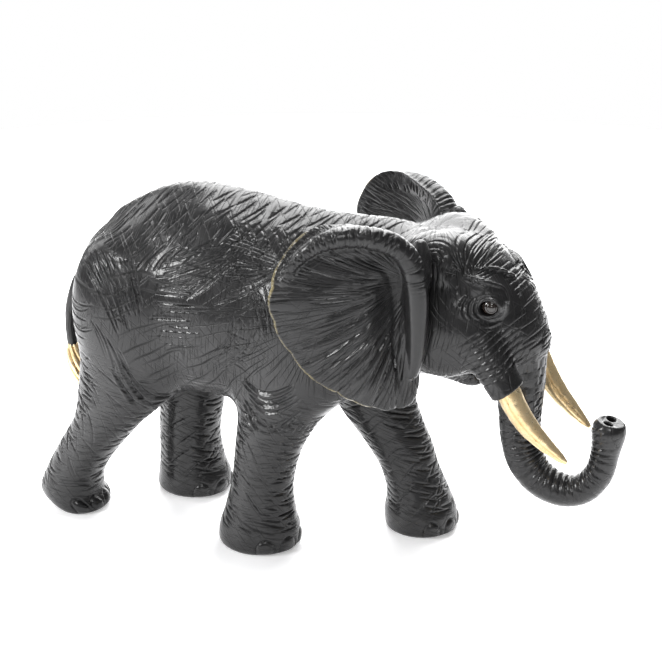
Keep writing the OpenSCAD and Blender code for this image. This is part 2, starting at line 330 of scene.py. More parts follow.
@dataclass(frozen=True)
class Egg:
    """Ellipsoid by its centre and half sizes, turned by yaw about Z and then pitched about Y."""

    centre: tuple
    half: tuple
    yaw: float = 0.0
    pitch: float = 0.0

    def distance(self, x: Floats, y: Floats, z: Floats) -> Floats:
        """Close estimate of the signed distance.

        Args:
            x: Distance ahead, in millimetres.
            y: Distance to the left.
            z: Height.

        Returns:
            Distance in millimetres.
        """
        a, b, c = x - self.centre[0], y - self.centre[1], z - self.centre[2]
        s, o = math.sin(self.yaw), math.cos(self.yaw)
        a, b = a * o + b * s, b * o - a * s
        s, o = math.sin(self.pitch), math.cos(self.pitch)
        a, c = a * o - c * s, c * o + a * s
        h = self.half
        near = np.sqrt((a / h[0]) ** 2 + (b / h[1]) ** 2 + (c / h[2]) ** 2)
        slope = np.sqrt((a / h[0] ** 2) ** 2 + (b / h[1] ** 2) ** 2 + (c / h[2] ** 2) ** 2)
        return near * (near - 1.0) / np.maximum(slope, 1e-6)


# ---------------------------------------------------------------- sampling a form and skinning it


@dataclass
class Clay:
    """Block of distance samples that forms are added to and cut from, in millimetres."""

    low: tuple
    high: tuple
    step: float
    values: Floats = field(init=False)

    def __post_init__(self) -> None:
        """Starts with an empty block."""
        self.low = np.array(self.low, float)
        counts = np.ceil((np.array(self.high, float) - self.low) / self.step).astype(int) + 1
        self.lines = [self.low[k] + self.step * np.arange(counts[k]) for k in range(3)]
        self.values = np.full(tuple(counts), FAR, np.float32)

    def part(self, low: tuple, high: tuple) -> tuple[tuple, Floats, Floats, Floats]:
        """Slices and open axes of the samples inside a box.

        Args:
            low: Lowest corner of the box.
            high: Highest corner of the box.

        Returns:
            The slices, and the three axes.
        """
        spans = []
        for k in range(3):
            a = int(np.searchsorted(self.lines[k], low[k]))
            b = int(np.searchsorted(self.lines[k], high[k], side="right"))
            spans.append(slice(a, b))
        x, y, z = (self.lines[k][spans[k]].astype(np.float32) for k in range(3))
        return tuple(spans), x[:, None, None], y[None, :, None], z[None, None, :]

    def add(self, form: object, radius: float, low: tuple = BOX_ALL[0], high: tuple = BOX_ALL[1]) -> None:
        """Joins a form on with a fillet, working only inside a box.

        Args:
            form: Form with a distance to its surface.
            radius: Radius of the rounding, in millimetres.
            low: Lowest corner of the box.
            high: Highest corner of the box.
        """
        spans, x, y, z = self.part(low, high)
        if all(s.stop > s.start for s in spans):
            self.values[spans] = blend_near(self.values[spans], form.distance(x, y, z), radius)

    def cut(self, form: object, radius: float, low: tuple = BOX_ALL[0], high: tuple = BOX_ALL[1]) -> None:
        """Cuts a form away with a rounded edge, working only inside a box.

        Args:
            form: Form with a distance to its surface.
            radius: Radius of the rounding, in millimetres.
            low: Lowest corner of the box.
            high: Highest corner of the box.
        """
        spans, x, y, z = self.part(low, high)
        if all(s.stop > s.start for s in spans):
            self.values[spans] = blend_far(self.values[spans], -form.distance(x, y, z), radius)

    def holds(self, point: tuple) -> bool:
        """Whether a point lies well inside the block."""
        return all(line[0] + 2.0 < v < line[-1] - 2.0 for line, v in zip(self.lines, point))

    def reach_out(self, x: float, z: float, side: float) -> float:
        """How far out to one side the surface lies at a place.

        Args:
            x: Distance ahead, in millimetres.
            z: Height.
            side: LEFT or RIGHT.

        Returns:
            Distance from the middle plane.
        """
        i, k = (int(round((v - self.low[n]) / self.step)) for v, n in ((x, 0), (z, 2)))
        column = self.values[i, :, k]
        j = np.flatnonzero(column < 0)[-1 if side > 0 else 0]
        inner, outer = column[j], column[j + int(side)]
        return abs(self.lines[1][j] + side * self.step * inner / (inner - outer))

    def sample(self, p: Floats) -> tuple[Floats, Floats]:
        """Value and slope at points, straight between the samples.

        Args:
            p: Points, one a row.

        Returns:
            Values, and one slope a row.
        """
        g = np.clip((p - self.low) / self.step, 0.0, np.array(self.values.shape) - 1.001)
        i = g.astype(int)
        f = g - i
        v = self.values
        c = {(a, b, d): v[i[:, 0] + a, i[:, 1] + b, i[:, 2] + d] for a, b, d in np.ndindex(2, 2, 2)}
        wx, wy, wz = ((1.0 - f[:, k], f[:, k]) for k in range(3))
        value = sum(wx[a] * wy[b] * wz[d] * c[a, b, d] for a, b, d in c)
        gx = sum(wy[b] * wz[d] * (c[1, b, d] - c[0, b, d]) for b, d in np.ndindex(2, 2))
        gy = sum(wx[a] * wz[d] * (c[a, 1, d] - c[a, 0, d]) for a, d in np.ndindex(2, 2))
        gz = sum(wx[a] * wy[b] * (c[a, b, 1] - c[a, b, 0]) for a, b in np.ndindex(2, 2))
        return value, np.stack([gx, gy, gz], 1) / self.step

    def skin(self) -> tuple[Floats, Floats]:
        """Four-sided faces over the surface where the samples change sign.

        Returns:
            Vertices, and faces as rows of four vertex numbers that turn outwards.
        """
        v = self.values
        for k in range(3):
            edge = [slice(None)] * 3
            for end in (0, -1):
                edge[k] = end
                v[tuple(edge)] = np.maximum(v[tuple(edge)], self.step * 0.5)
        solid = v < 0
        cells = np.array(v.shape) - 1
        count = int(np.prod(cells))
        stride = np.array([cells[1] * cells[2], cells[2], 1])
        sums = np.zeros((4, count))
        faces = []
        for k in range(3):
            near, far = [slice(None)] * 3, [slice(None)] * 3
            near[k], far[k] = slice(0, -1), slice(1, None)
            at = np.argwhere(solid[tuple(near)] != solid[tuple(far)])
            here = v[at[:, 0], at[:, 1], at[:, 2]]
            ahead = at.copy()
            ahead[:, k] += 1
            there = v[ahead[:, 0], ahead[:, 1], ahead[:, 2]]
            cross = at.astype(float)
            cross[:, k] += here / (here - there)
            m, n = (k + 1) % 3, (k + 2) % 3
            ring = []
            for dm, dn in ((0, 0), (-1, 0), (-1, -1), (0, -1)):
                cell = at.copy()
                cell[:, m] += dm
                cell[:, n] += dn
                number = cell @ stride
                ring.append(number)
                for c in range(3):
                    sums[c] += np.bincount(number, cross[:, c], count)
                sums[3] += np.bincount(number, minlength=count)
            quad = np.stack(ring, 1)
            faces.append(np.where((here < 0)[:, None], quad, quad[:, ::-1]))
        used = np.flatnonzero(sums[3])
        lookup = np.zeros(count, int)
        lookup[used] = np.arange(len(used))
        points = (sums[:3, used] / sums[3, used]).T * self.step + self.low
        return points, lookup[np.concatenate(faces)]

    def sound_skin(self) -> tuple[Floats, Floats]:
        """Skin with no edge shared by more than two faces, after softening the samples where one was.

        Returns:
            Vertices and faces.
        """
        for _ in range(8):
            points, faces = self.skin()
            pairs = np.sort(np.stack([faces, np.roll(faces, -1, 1)], 2).reshape(-1, 2), axis=1)
            keys, number = np.unique(pairs[:, 0] * len(points) + pairs[:, 1], return_counts=True)
            crowded = keys[number > 2]
            if not len(crowded):
                break
            at = np.unique(np.concatenate([crowded // len(points), crowded % len(points)]))
            inner = np.array(self.values.shape) - 4
            for i, j, k in np.clip(((points[at] - self.low) / self.step).astype(int), 2, inner):
                block = self.values[i - 2:i + 4, j - 2:j + 4, k - 2:k + 4].copy()
                soft = sum(np.roll(block, turn, axis) for axis in range(3) for turn in (-1, 0, 1)) / 9.0
                self.values[i - 1:i + 3, j - 1:j + 3, k - 1:k + 3] = soft[1:-1, 1:-1, 1:-1]
        return points, faces

    def settle(self, points: Floats, faces: Floats, rounds: int = 3) -> Floats:
        """Evens the mesh out along the surface and draws it onto the form.

        Args:
            points: Vertices, one a row.
            faces: Vertex numbers of each face.
            rounds: How many times.

        Returns:
            The moved vertices.
        """
        for _ in range(rounds):
            total = np.zeros_like(points)
            number = np.zeros(len(points))
            for a, b in ((0, 1), (1, 2), (2, 3), (3, 0)):
                i, j = faces[:, a], faces[:, b]
                for c in range(3):
                    total[:, c] += np.bincount(i, points[j, c], len(points))
                    total[:, c] += np.bincount(j, points[i, c], len(points))
                number += np.bincount(i, minlength=len(points)) + np.bincount(j, minlength=len(points))
            points = points + 0.6 * (total / number[:, None] - points)
            value, slope = self.sample(points)
            move = (value / np.maximum((slope**2).sum(1), 0.05))[:, None] * slope
            size = np.linalg.norm(move, axis=1, keepdims=True)
            points = points - move * np.minimum(1.0, self.step / np.maximum(size, 1e-9))
        return points

    def carved(self, relief: Callable[[Floats, Floats], Floats]) -> tuple[Floats, Floats]:
        """Fine skin of the form with its cuts.

        Args:
            relief: How far each point moves outwards, from the points and their normals.

        Returns:
            Vertices and faces.
        """
        points, faces = self.sound_skin()
        points, faces = finer(self.settle(points, faces), faces)
        points = self.settle(points, faces, 1)
        normals = outward(points, faces)
        return points + normals * relief(points, normals)[:, None], faces


def finer(points: Floats, faces: Floats) -> tuple[Floats, Floats]:
    """Splits every four-sided face in four.

    Args:
        points: Vertices, one a row.
        faces: Vertex numbers of each face.

    Returns:
        Vertices and faces.
    """
    pairs = np.sort(np.stack([faces, np.roll(faces, -1, 1)], 2).reshape(-1, 2), axis=1)
    keys, where = np.unique(pairs[:, 0] * len(points) + pairs[:, 1], return_inverse=True)
    middles = (points[keys // len(points)] + points[keys % len(points)]) / 2
    edge = where.reshape(-1, 4) + len(points)
    centre = np.arange(len(faces))[:, None].repeat(4, 1) + len(points) + len(keys)
    quads = np.stack([faces, edge, centre, np.roll(edge, 1, 1)], 2).reshape(-1, 4)
    return np.concatenate([points, middles, points[faces].mean(1)]), quads


def outward(points: Floats, faces: Floats) -> Floats:
    """Unit normal at each vertex of a four-sided mesh.

    Args:
        points: Vertices, one a row.
        faces: Vertex numbers of each face.

    Returns:
        One normal a row.
    """
    a, b, c, d = (points[faces[:, k]] for k in range(4))
    flat = np.cross(c - a, d - b)
    total = np.zeros_like(points)
    for k in range(4):
        for c in range(3):
            total[:, c] += np.bincount(faces[:, k], flat[:, c], len(points))
    return total / np.maximum(np.linalg.norm(total, axis=1, keepdims=True), 1e-12)


# ---------------------------------------------------------------- the body's design


@dataclass(frozen=True)
class Stride:
    """Sizes that the whole figure is laid out from, in millimetres."""

    front_line: float = 24.0
    rear_line: float = 21.0
    neck_x: float = 42.0
    front_seat: float = 88.0
    rear_seat: float = 96.0
    trunk_seat: float = 112.0
    trunk_seat_back: float = 85.0
    trunk_seat_half: float = 16.4
    keel_half: float = 2.6
    dowel: float = 5.1
    trunk_dowel: float = 4.1
    ear_pin: float = 2.6


STRIDE = Stride()

BARREL = Loft(
    (
        (-134, 122, 112, 4.2), (-132, 138, 96, 14.3), (-126, 149, 85, 25.2), (-112, 161, 78, 33.6),
        (-94, 172, 74, 37.8), (-76, 178.5, 71.5, 39.9), (-58, 180, 71, 41.6), (-38, 177.5, 71, 42.0),
        (-16, 174, 71.5, 40.3), (4, 172.5, 75, 37.4), (20, 172, 82, 33.2), (34, 172, 91, 29.0),
        (48, 170, 99, 26.0),
    ),
    taper=0.12,
)

HEAD = Loft(
    (
        (34, 166, 106, 22), (48, 171, 101, 28), (60, 173.5, 100, 30.5), (72, 173.5, 101, 29.5),
        (84, 169, 105, 26.5), (95, 158.5, 110, 22), (104, 146.5, 114, 17.5), (110.5, 135, 117, 12), (113.5, 127, 120, 6),
    ),
    taper=0.05,
    power=0.88,
)

TRUNK = Rod(
    (
        (90, 0, 139, 17.5), (97.6, 0, 121, 15.3), (101, 0, 104, 12.8), (102, 0, 89, 11.2), (102.5, 0, 75, 10.3),
        (105.5, 0, 61, 9.6), (113.5, 0, 50.5, 8.9), (125, 0, 46, 8.3), (135.5, 0, 49, 7.8), (142.5, 0, 58, 7.3),
        (145, 0, 69, 7.1), (146, 0, 77, 7.9), (146.2, 0, 81, 8.4),
    ),
    steps=4,
)

FRONT_LEFT = Column(
    (
        (0, 44, 0, 17.5, 17), (3, 44.5, 0, 19.2, 18.5), (10, 44, 0, 19.2, 18.5), (20, 42.5, 0, 16.5, 16.5),
        (33, 37.5, 0, 15.5, 15), (46, 31, 0, 18, 15), (62, 21, 0, 21.5, 15.5), (82, 11, 0, 25, 16),
        (104, 5, -2, 26, 17), (128, 4, -4, 22, 13),
    ),
    LEFT,
    STRIDE.front_line,
)
FRONT_RIGHT = Column(
    (
        (0, -27, 0, 19.5, 17.5), (3, -27, 0, 21.3, 19), (10, -26.5, 0, 21, 19), (20, -26, 0, 18.2, 17),
        (35, -24.5, 0, 16, 15), (55, -21, 0, 17.5, 15), (76, -14, 0, 22, 16), (100, -5, -2, 26, 17),
        (128, 3, -4, 22, 13),
    ),
    RIGHT,
    STRIDE.front_line,
)
REAR_LEFT = Column(
    (
        (0, -86, 0, 18, 16.5), (3, -86, 0, 20.3, 18), (9, -85.5, 0, 20.3, 18), (19, -87, 0, 18, 16.5),
        (35, -88, 0, 17, 15.5), (54, -87, 1, 18.5, 16), (72, -90, 1, 25, 18), (94, -95, 0, 29.5, 20),
        (120, -97, -3, 29, 18), (142, -97, -6, 22, 12),
    ),
    LEFT,
    STRIDE.rear_line,
)
REAR_RIGHT = Column(
    (
        (0, -131, 0, 12, 15), (4, -134, 0, 15.5, 17), (11, -138, 0, 16.4, 18), (22, -134.8, 0, 15.5, 16.5),
        (36, -126.5, 0, 16.5, 15.5), (54, -113.5, 1, 19, 16), (72, -103, 1, 26, 18), (94, -97, 0, 29.5, 20),
        (120, -97, -3, 29, 18), (142, -97, -6, 22, 12),
    ),
    RIGHT,
    STRIDE.rear_line,
)
LEGS = {"leg_front_left": FRONT_LEFT, "leg_front_right": FRONT_RIGHT, "leg_rear_left": REAR_LEFT,
        "leg_rear_right": REAR_RIGHT}

EYE = (92.0, 20.6, 145.0)
EYE_RADIUS = 5.0


@dataclass(frozen=True)
class Fold:
    """Raised fold of skin beside an eye: rows of x and z from the eye, its radius and how proud it stands."""

    rows: tuple
    thick: float
    proud: float = 0.2

    def lay(self, clay: Clay, side: float) -> Rod:
        """Rod that follows the skin of one side, thinner at its ends.

        Args:
            clay: Block of clay to work on.
            side: LEFT or RIGHT.

        Returns:
            The rod.
        """
        made, last = [], len(self.rows) - 1
        for k, (dx, dz) in enumerate(self.rows):
            x, z = EYE[0] + dx, EYE[2] + dz
            out = clay.reach_out(x, z, side) + self.proud - 0.5 * self.thick
            thin = 0.5 + 0.5 * math.sin(math.pi * k / last)
            made.append((x, side * out, z, self.thick * thin))
        return Rod(tuple(made), steps=3)


def arc_rows(reach: float, start: float, end: float, squash: float = 0.85) -> tuple:
    """Places round the eye from one angle to another, where 0 degrees is in front and 90 above."""
    turns = [math.radians(start + (end - start) * k / 6) for k in range(7)]
    return tuple((reach * math.cos(a), reach * squash * math.sin(a)) for a in turns)


FOLDS = (
    Fold(arc_rows(5.3, 6, 176, 0.84), 0.9, 0.45),
    Fold(arc_rows(5.3, 186, 346, 0.82), 0.75, 0.4),
    Fold(arc_rows(7.6, 24, 160, 0.88), 0.7, 0.1),
    Fold(arc_rows(7.5, 146, 236, 0.8), 0.85, 0.45),
    Fold(arc_rows(9.9, 150, 216, 0.8), 0.85, 0.5),
    Fold(arc_rows(12.3, 152, 208, 0.8), 0.8, 0.5),
    Fold(((-11.0, 14.2), (-5.4, 12.8), (-0.2, 10.8), (4.4, 7.6), (7.6, 2.6)), 1.5, 1.0),
    Fold(((-8.0, 17.2), (-2.4, 15.8), (2.8, 13.2), (7.2, 9.4), (10.6, 4.0)), 1.25, 0.8),
    Fold(((-12.0, 12.4), (-7.0, 11.2), (-2.4, 9.4)), 0.8, 0.2),
    Fold(((-3.0, -8.2), (1.0, -8.8), (5.0, -7.4)), 0.7, 0.1),
)


class Body:
    """The whole carved body as joined forms, before it is divided at the glue faces."""

    def forms(self) -> list[tuple[object, float, tuple, tuple]]:
        """Every added form with its fillet and the box it matters in.

        Returns:
            One entry for each form.
        """
        made = [(BARREL, 1.0, (-150, -60, 55), (70, 60, 195))]
        for leg in LEGS.values():
            made.append((leg, 13.0, (-175, -60, -5), (90, 60, 160)))
        made.append((HEAD, 9.0, (20, -50, 85), (130, 50, 195)))
        made.append((Rod(((-108, 0, 158, 5), (-76, 0, 173, 5.5), (-40, 0, 172.5, 5), (0, 0, 167.5, 5),
                          (36, 0, 166.5, 5))), 9.0, (-125, -25, 140), (60, 25, 190)))
        for side in (LEFT, RIGHT):
            made += [
                (Egg((64, side * 15, 160.5), (19, 14.5, 15.5)), 7.0, (35, -45, 130), (100, 45, 190)),
                (Egg((70, side * 23, 128), (21, 9.5, 20), pitch=0.15), 8.0, (35, -50, 95), (115, 50, 165)),
                (Egg((88, side * 19.5, 153), (12, 5.5, 5), yaw=-side * 0.32, pitch=0.55), 5.0,
                 (65, -40, 135), (115, 40, 175)),
                (Egg((2, side * 28, 118), (24, 12.5, 34)), 14.0, (-45, -60, 60), (50, 60, 175)),
                (Egg((-99, side * 25, 120), (25, 13.5, 34), pitch=-0.2), 14.0, (-145, -60, 65), (-50, 60, 175)),
                (Rod(((80, side * 18.5, 136, 9), (90, side * 22.2, 122, 9.6), (97.6, side * 24.3, 112, 8.9),
                      (103, side * 25.2, 105, 8.5))), 6.0, (60, -45, 85), (125, 45, 160)),
            ]
        made.append((Rod(((48, 0, 108, 9), (62, 0, 105.5, 8.5), (72, 0, 101.5, 6.8), (77.5, 0, 98.6, 4.6),
                          (80.5, 0, 97.4, 2.4))), 5.0, (35, -20, 85), (95, 20, 125)))
        made.append((TRUNK, 8.0, (65, -26, 25), (165, 26, 165)))
        return made

    def model(self, clay: Clay) -> None:
        """Joins the forms in a block of clay and cuts the hollows.

        Args:
            clay: Block of clay to work on.
        """
        for form, radius, low, high in self.forms():
            clay.add(form, radius, low, high)
        for side in (LEFT, RIGHT):
            clay.cut(Egg((84, side * 31, 164), (9, 7, 10)), 6.0, (60, -50, 140), (105, 50, 185))
            clay.cut(Egg((60, side * 41, 158), (9, 12, 18)), 6.0, (35, -60, 130), (85, 60, 190))
        self.face(clay)

    def face(self, clay: Clay) -> None:
        """Adds the lids, folds and brows, and cuts the mouth, the lip rims and the nostrils.

        Args:
            clay: Block of clay to work on.
        """
        low, high = (70, -40, 120), (112, 40, 172)
        for side in (LEFT, RIGHT) if clay.holds(EYE) else ():
            x, y, z = EYE[0], side * EYE[1], EYE[2]
            clay.add(Egg((x, y, z), (6.5, 5.8, 6.1)), 3.0, low, high)
            laid = [fold.lay(clay, side) for fold in FOLDS]
            clay.cut(Egg((x, y + side * 6.0, z), (4.5, 6.4, 3.6)), 0.5, low, high)
            for fold in laid:
                clay.add(fold, 0.6, low, high)
            clay.cut(Egg((x, y, z), (EYE_RADIUS + 0.05,) * 3), 0.2, low, high)
        for side in (LEFT, RIGHT):
            clay.cut(Egg((106.6, side * 26.2, 99.9), (7.5, 11.5, 15.0), pitch=0.95), 0.8,
                     (88, -45, 80), (122, 45, 118))
            clay.cut(Rod(((147.0, side * 3.1, 92, 2.1), (146.4, side * 3.0, 82, 2.1),
                          (145.8, side * 2.6, 72, 1.2))), 0.7, (135, -10, 66), (158, 10, 95))
            clay.cut(Rod(((76, side * 3, 101.4, 0.7), (80, side * 6, 104.2, 0.9), (84, side * 10, 107.5, 0.9),
                          (84, side * 15, 111.0, 0.7), (80, side * 19.5, 113.0, 0.5))), 1.2,
                     (68, -24, 92), (94, 24, 120))
        clay.cut(Egg((147.0, 0, 93.6), (17.0, 14.0, 7.4), pitch=0.3), 0.8, (126, -18, 76), (168, 18, 104))
        clay.cut(Rod(((82, 0, 101.5, 1.2), (84, 0, 104, 1.8), (86, 0, 107, 1.4))), 2.0,
                 (74, -14, 92), (94, 14, 114))


BODY = Body()


# ---------------------------------------------------------------- the carver's lines


def unrolled(x: Floats, y: Floats, z: Floats) -> tuple[Floats, Floats]:
    """Lays the barrel out flat: distance along the spine, and girth down from the top of the back.

    Args:
        x: Distance ahead, in millimetres.
        y: Distance to the left.
        z: Height.

    Returns:
        Distance along, and girth.
    """
    reach = np.hypot(y, z - 122.0)
    spine = np.where(x < -95.0, -95.0 - 46.0 * np.arctan2(-(x + 95.0), reach), x)
    return spine, 46.0 * np.arctan2(np.abs(y), z - 122.0)


@dataclass(frozen=True)
class Sweep:
    """Family of long cuts between two guide curves, each of three points of x and z seen from the side."""

    first: tuple
    last: tuple
    count: int
    width: float = 0.6
    depth: float = 0.42
    shorten: float = 0.22
    stray: float = 0.9

    def lay(self, guide: tuple) -> Floats:
        """Places a guide's points on the unrolled barrel.

        Args:
            guide: Rows of x and z.

        Returns:
            One point a row.
        """
        x, z = np.array(guide, float).T
        top, bottom, half = (np.interp(x, BARREL.table()[0], row) for row in BARREL.table()[1:])
        c = np.clip((2.0 * z - top - bottom) / (top - bottom), -0.985, 0.985)
        return np.stack(unrolled(x, half * np.sqrt(1.0 - c * c), z), 1)

    def cut(self, at: Floats, seed: int) -> Floats:
        """Depth of the family's cuts, and the low burr that each raises, at points of the unrolled barrel.

        Args:
            at: Points of the unrolled barrel.
            seed: Number that picks one set of draws.

        Returns:
            Depth at each point.
        """
        rng = np.random.default_rng(seed)
        first, last = self.lay(self.first), self.lay(self.last)
        out = np.zeros(len(at))
        for k in range(self.count):
            share = (k + 0.5 + rng.uniform(-0.3, 0.3)) / self.count
            a, b, c = first + (last - first) * share + rng.normal(0.0, self.stray, (3, 2))
            begin, end = rng.uniform(0.0, self.shorten), 1.0 - rng.uniform(0.0, self.shorten)
            t = np.linspace(begin, end, 13)[:, None]
            line = a * (1 - t) * (1 - 2 * t) + b * 4 * t * (1 - t) + c * t * (2 * t - 1)
            bold = rng.uniform(0.75, 1.2)
            near = np.flatnonzero(((at > line.min(0) - 2.5) & (at < line.max(0) + 2.5)).all(1))
            p, best, along = at[near], np.full(len(near), 99.0), np.zeros(len(near))
            for j, (u, v) in enumerate(zip(line[:-1], line[1:])):
                d = v - u
                f = np.clip((p - u) @ d / (d @ d), 0.0, 1.0)
                gap = np.hypot(*(p - u - f[:, None] * d).T)
                closer = gap < best
                best, along = np.where(closer, gap, best), np.where(closer, (j + f) / 12.0, along)
            taper = np.sqrt(np.clip(1.0 - np.abs(2.0 * along - 1.0) ** 3, 0.0, 1.0))
            wide = 1.2 * self.width * bold * (0.35 + 0.65 * taper)
            burr = 0.22 * taper * bell(best, 1.35 * wide, 0.35 * wide)
            groove = np.clip(1.0 - best / wide, 0.0, 1.0) * taper - burr
            deeper = np.abs(groove) > np.abs(out[near])
            out[near] = np.where(deeper, 1.45 * self.depth * bold * groove, out[near])
        return out


SWEEPS = (
    Sweep(((-60, 177), (-45, 171), (-33, 157)), ((-16, 175), (4, 171), (20, 157)), 11, 0.65, 0.5),
    Sweep(((-40, 175), (-24, 168), (-10, 154)), ((10, 170), (20, 164), (28, 152)), 6, 0.55, 0.4),
    Sweep(((-78, 144), (-54, 152), (-26, 165)), ((-58, 129), (-40, 147), (-26, 165)), 8, 0.65, 0.5),
    Sweep(((-74, 152), (-56, 160), (-34, 170)), ((-70, 136), (-46, 146), (-18, 158)), 7, 0.55, 0.42),
    Sweep(((-80, 138), (-60, 140), (-38, 142)), ((-80, 108), (-62, 109), (-44, 112)), 10, 0.5, 0.34, 0.4),
    Sweep(((-46, 171), (-26, 164), (-8, 156)), ((-46, 128), (-24, 140), (-8, 154)), 14, 0.55, 0.45, 0.3),
    Sweep(((-34, 148), (-22, 136), (-16, 120)), ((-14, 148), (-9, 134), (-8, 118)), 6, 0.5, 0.4),
    Sweep(((-16, 132), (-20, 114), (-44, 97)), ((-34, 130), (-38, 114), (-56, 104)), 9, 0.5, 0.36),
    Sweep(((-40, 128), (-30, 124), (-20, 118)), ((-44, 106), (-32, 103), (-22, 98)), 5, 0.45, 0.3, 0.4),
    Sweep(((-30, 101), (-14, 98), (4, 107)), ((-32, 79), (-12, 76), (10, 87)), 11, 0.85, 0.75, 0.15, 0.7),
    Sweep(((-122, 140), (-107, 131), (-93, 110)), ((-102, 149), (-94, 137), (-86, 114)), 11, 0.65, 0.5),
    Sweep(((-99, 144), (-94, 134), (-88, 120)), ((-90, 150), (-84, 138), (-79, 122)), 7, 0.65, 0.5),
    Sweep(((-94, 142), (-89, 151), (-83, 160)), ((-68, 142), (-61, 152), (-52, 160)), 9, 0.55, 0.42),
    Sweep(((-129, 128), (-120, 124), (-108, 126)), ((-127, 100), (-116, 97), (-104, 101)), 8, 0.5, 0.34, 0.35),
    Sweep(((-112, 120), (-104, 108), (-100, 94)), ((-98, 112), (-92, 102), (-88, 90)), 6, 0.5, 0.34, 0.35),
    Sweep(((-92, 108), (-84, 92), (-70, 80)), ((-100, 98), (-92, 86), (-80, 74)), 3, 0.9, 0.7, 0.1),
    Sweep(((-72, 96), (-56, 92), (-36, 94)), ((-70, 82), (-52, 78), (-34, 82)), 6, 0.5, 0.34, 0.35),
    Sweep(((20, 150), (12, 132), (10, 112)), ((36, 150), (30, 130), (26, 112)), 8, 0.6, 0.45),
)


@dataclass
class Ground:
    """Where points lie on the body, and which part of it each belongs to."""

    p: Floats

    def __post_init__(self) -> None:
        """Works out each part's share of every point, and the flows that strokes follow."""
        x, y, z = self.p.T
        self.side = np.where(y >= 0, 1, -1)
        barrel, head = BARREL.distance(x, y, z), HEAD.distance(x, y, z)
        trunk, along = TRUNK.nearest(x, y, z)[:2]
        self.trunk = smoothstep(1.0, 7.0, head - trunk) * smoothstep(82, 90, x) * (trunk < 5)
        self.legs = {}
        for name, leg in LEGS.items():
            near = leg.distance(x, y, z)
            self.legs[name] = smoothstep(0.0, 9.0, barrel - near) * (near < 5) * (x < 75) * (z < 110)
        self.leg = np.clip(sum(self.legs.values()), 0.0, 1.0)
        self.head = (1.0 - self.trunk) * smoothstep(38, 54, x) * (1.0 - self.leg)
        self.barrel = np.clip(1.0 - self.head - self.trunk - self.leg, 0.0, 1.0)
        self.spine, self.girth = unrolled(x, y, z)
        self.leg_turn, self.leg_height, self.leg_angle = np.zeros_like(x), z.copy(), np.zeros_like(x)
        for name, leg in LEGS.items():
            cx, cy = leg.middle(z)[:2]
            angle = np.arctan2((y - cy) * leg.side, x - cx)
            mine = self.legs[name] > 0.02
            self.leg_angle = np.where(mine, angle, self.leg_angle)
            self.leg_turn = np.where(mine, 18.0 * angle, self.leg_turn)
            self.leg_height = np.where(mine, z + 0.25 * (x - cx), self.leg_height)
        bend_x, bend_z = 124.0, 71.0
        inner = np.hypot(x - bend_x, z - bend_z)
        self.trunk_along = along
        ahead = np.where(z < 62, inner - 25.0, np.where(x > 124, 145.0 - x, 102.0 - x))
        self.trunk_turn = 10.0 * np.arctan2(y, ahead)
        self.inside_bend = smoothstep(-1.5, 5.5, 26.0 - inner) * smoothstep(52.0, 72.0, along)
        self.bend_angle = np.arctan2(z - bend_z, x - bend_x)
        self.face_turn = 30.0 * np.arctan2(np.abs(y), x - 58.0)
        self.fan_reach = np.hypot(x - 14.0, z - 132.0)
        self.fan_turn = 46.0 * np.arctan2(z - 132.0, 14.0 - x)

    def slanted(self, u: Floats, v: Floats, degrees: float) -> tuple[Floats, Floats]:
        """The same flow turned by an angle."""
        a = math.radians(degrees)
        return u * math.cos(a) + v * math.sin(a), v * math.cos(a) - u * math.sin(a)


RIDGE_CUTS = Strokes(17.0, 3.5, 0.85, 11, 0.18, 0.1, 0.95)
LEG_WRINKLES = Strokes(13.0, 3.1, 0.85, 53, 0.14, 0.08, 0.96)
LEG_ARCS = Strokes(26.0, 6.4, 0.6, 59, 0.22, 0.2, 0.8)
TRUNK_STROKES = Strokes(15.0, 2.7, 0.75, 61, 0.12, 0.08, 0.97)
CROWN_RINGS = Strokes(26.0, 1.9, 0.62, 79, 0.04, 0.0, 1.0)
CURTAIN_STROKES = Strokes(11.0, 2.3, 0.75, 71, 0.1, 0.0, 1.0)
FOREHEAD_FAN = Strokes(12.0, 2.2, 0.7, 73, 0.1, 0.0, 0.95)
BROW_STROKES = Strokes(12.0, 2.6, 0.75, 75, 0.15, 0.0, 0.95)
CHEEK_LINES = Strokes(24.0, 3.8, 0.6, 77, 0.12, 0.1, 0.7)
JAW_STROKES = Strokes(6.0, 2.6, 0.8, 78, 0.6, 0.0, 0.9)
EAR_FRINGE = Strokes(11.0, 2.5, 0.95, 83, 0.2, 0.0, 1.0)
EAR_LINES = Strokes(26.0, 3.1, 0.9, 89, 0.12, 0.05, 0.9)
EAR_BACK_LINES = Strokes(18.0, 4.4, 0.9, 97, 0.5, 0.1, 0.7)
NAIL_DEGREES = (58.0, 21.0, -16.0, -53.0)


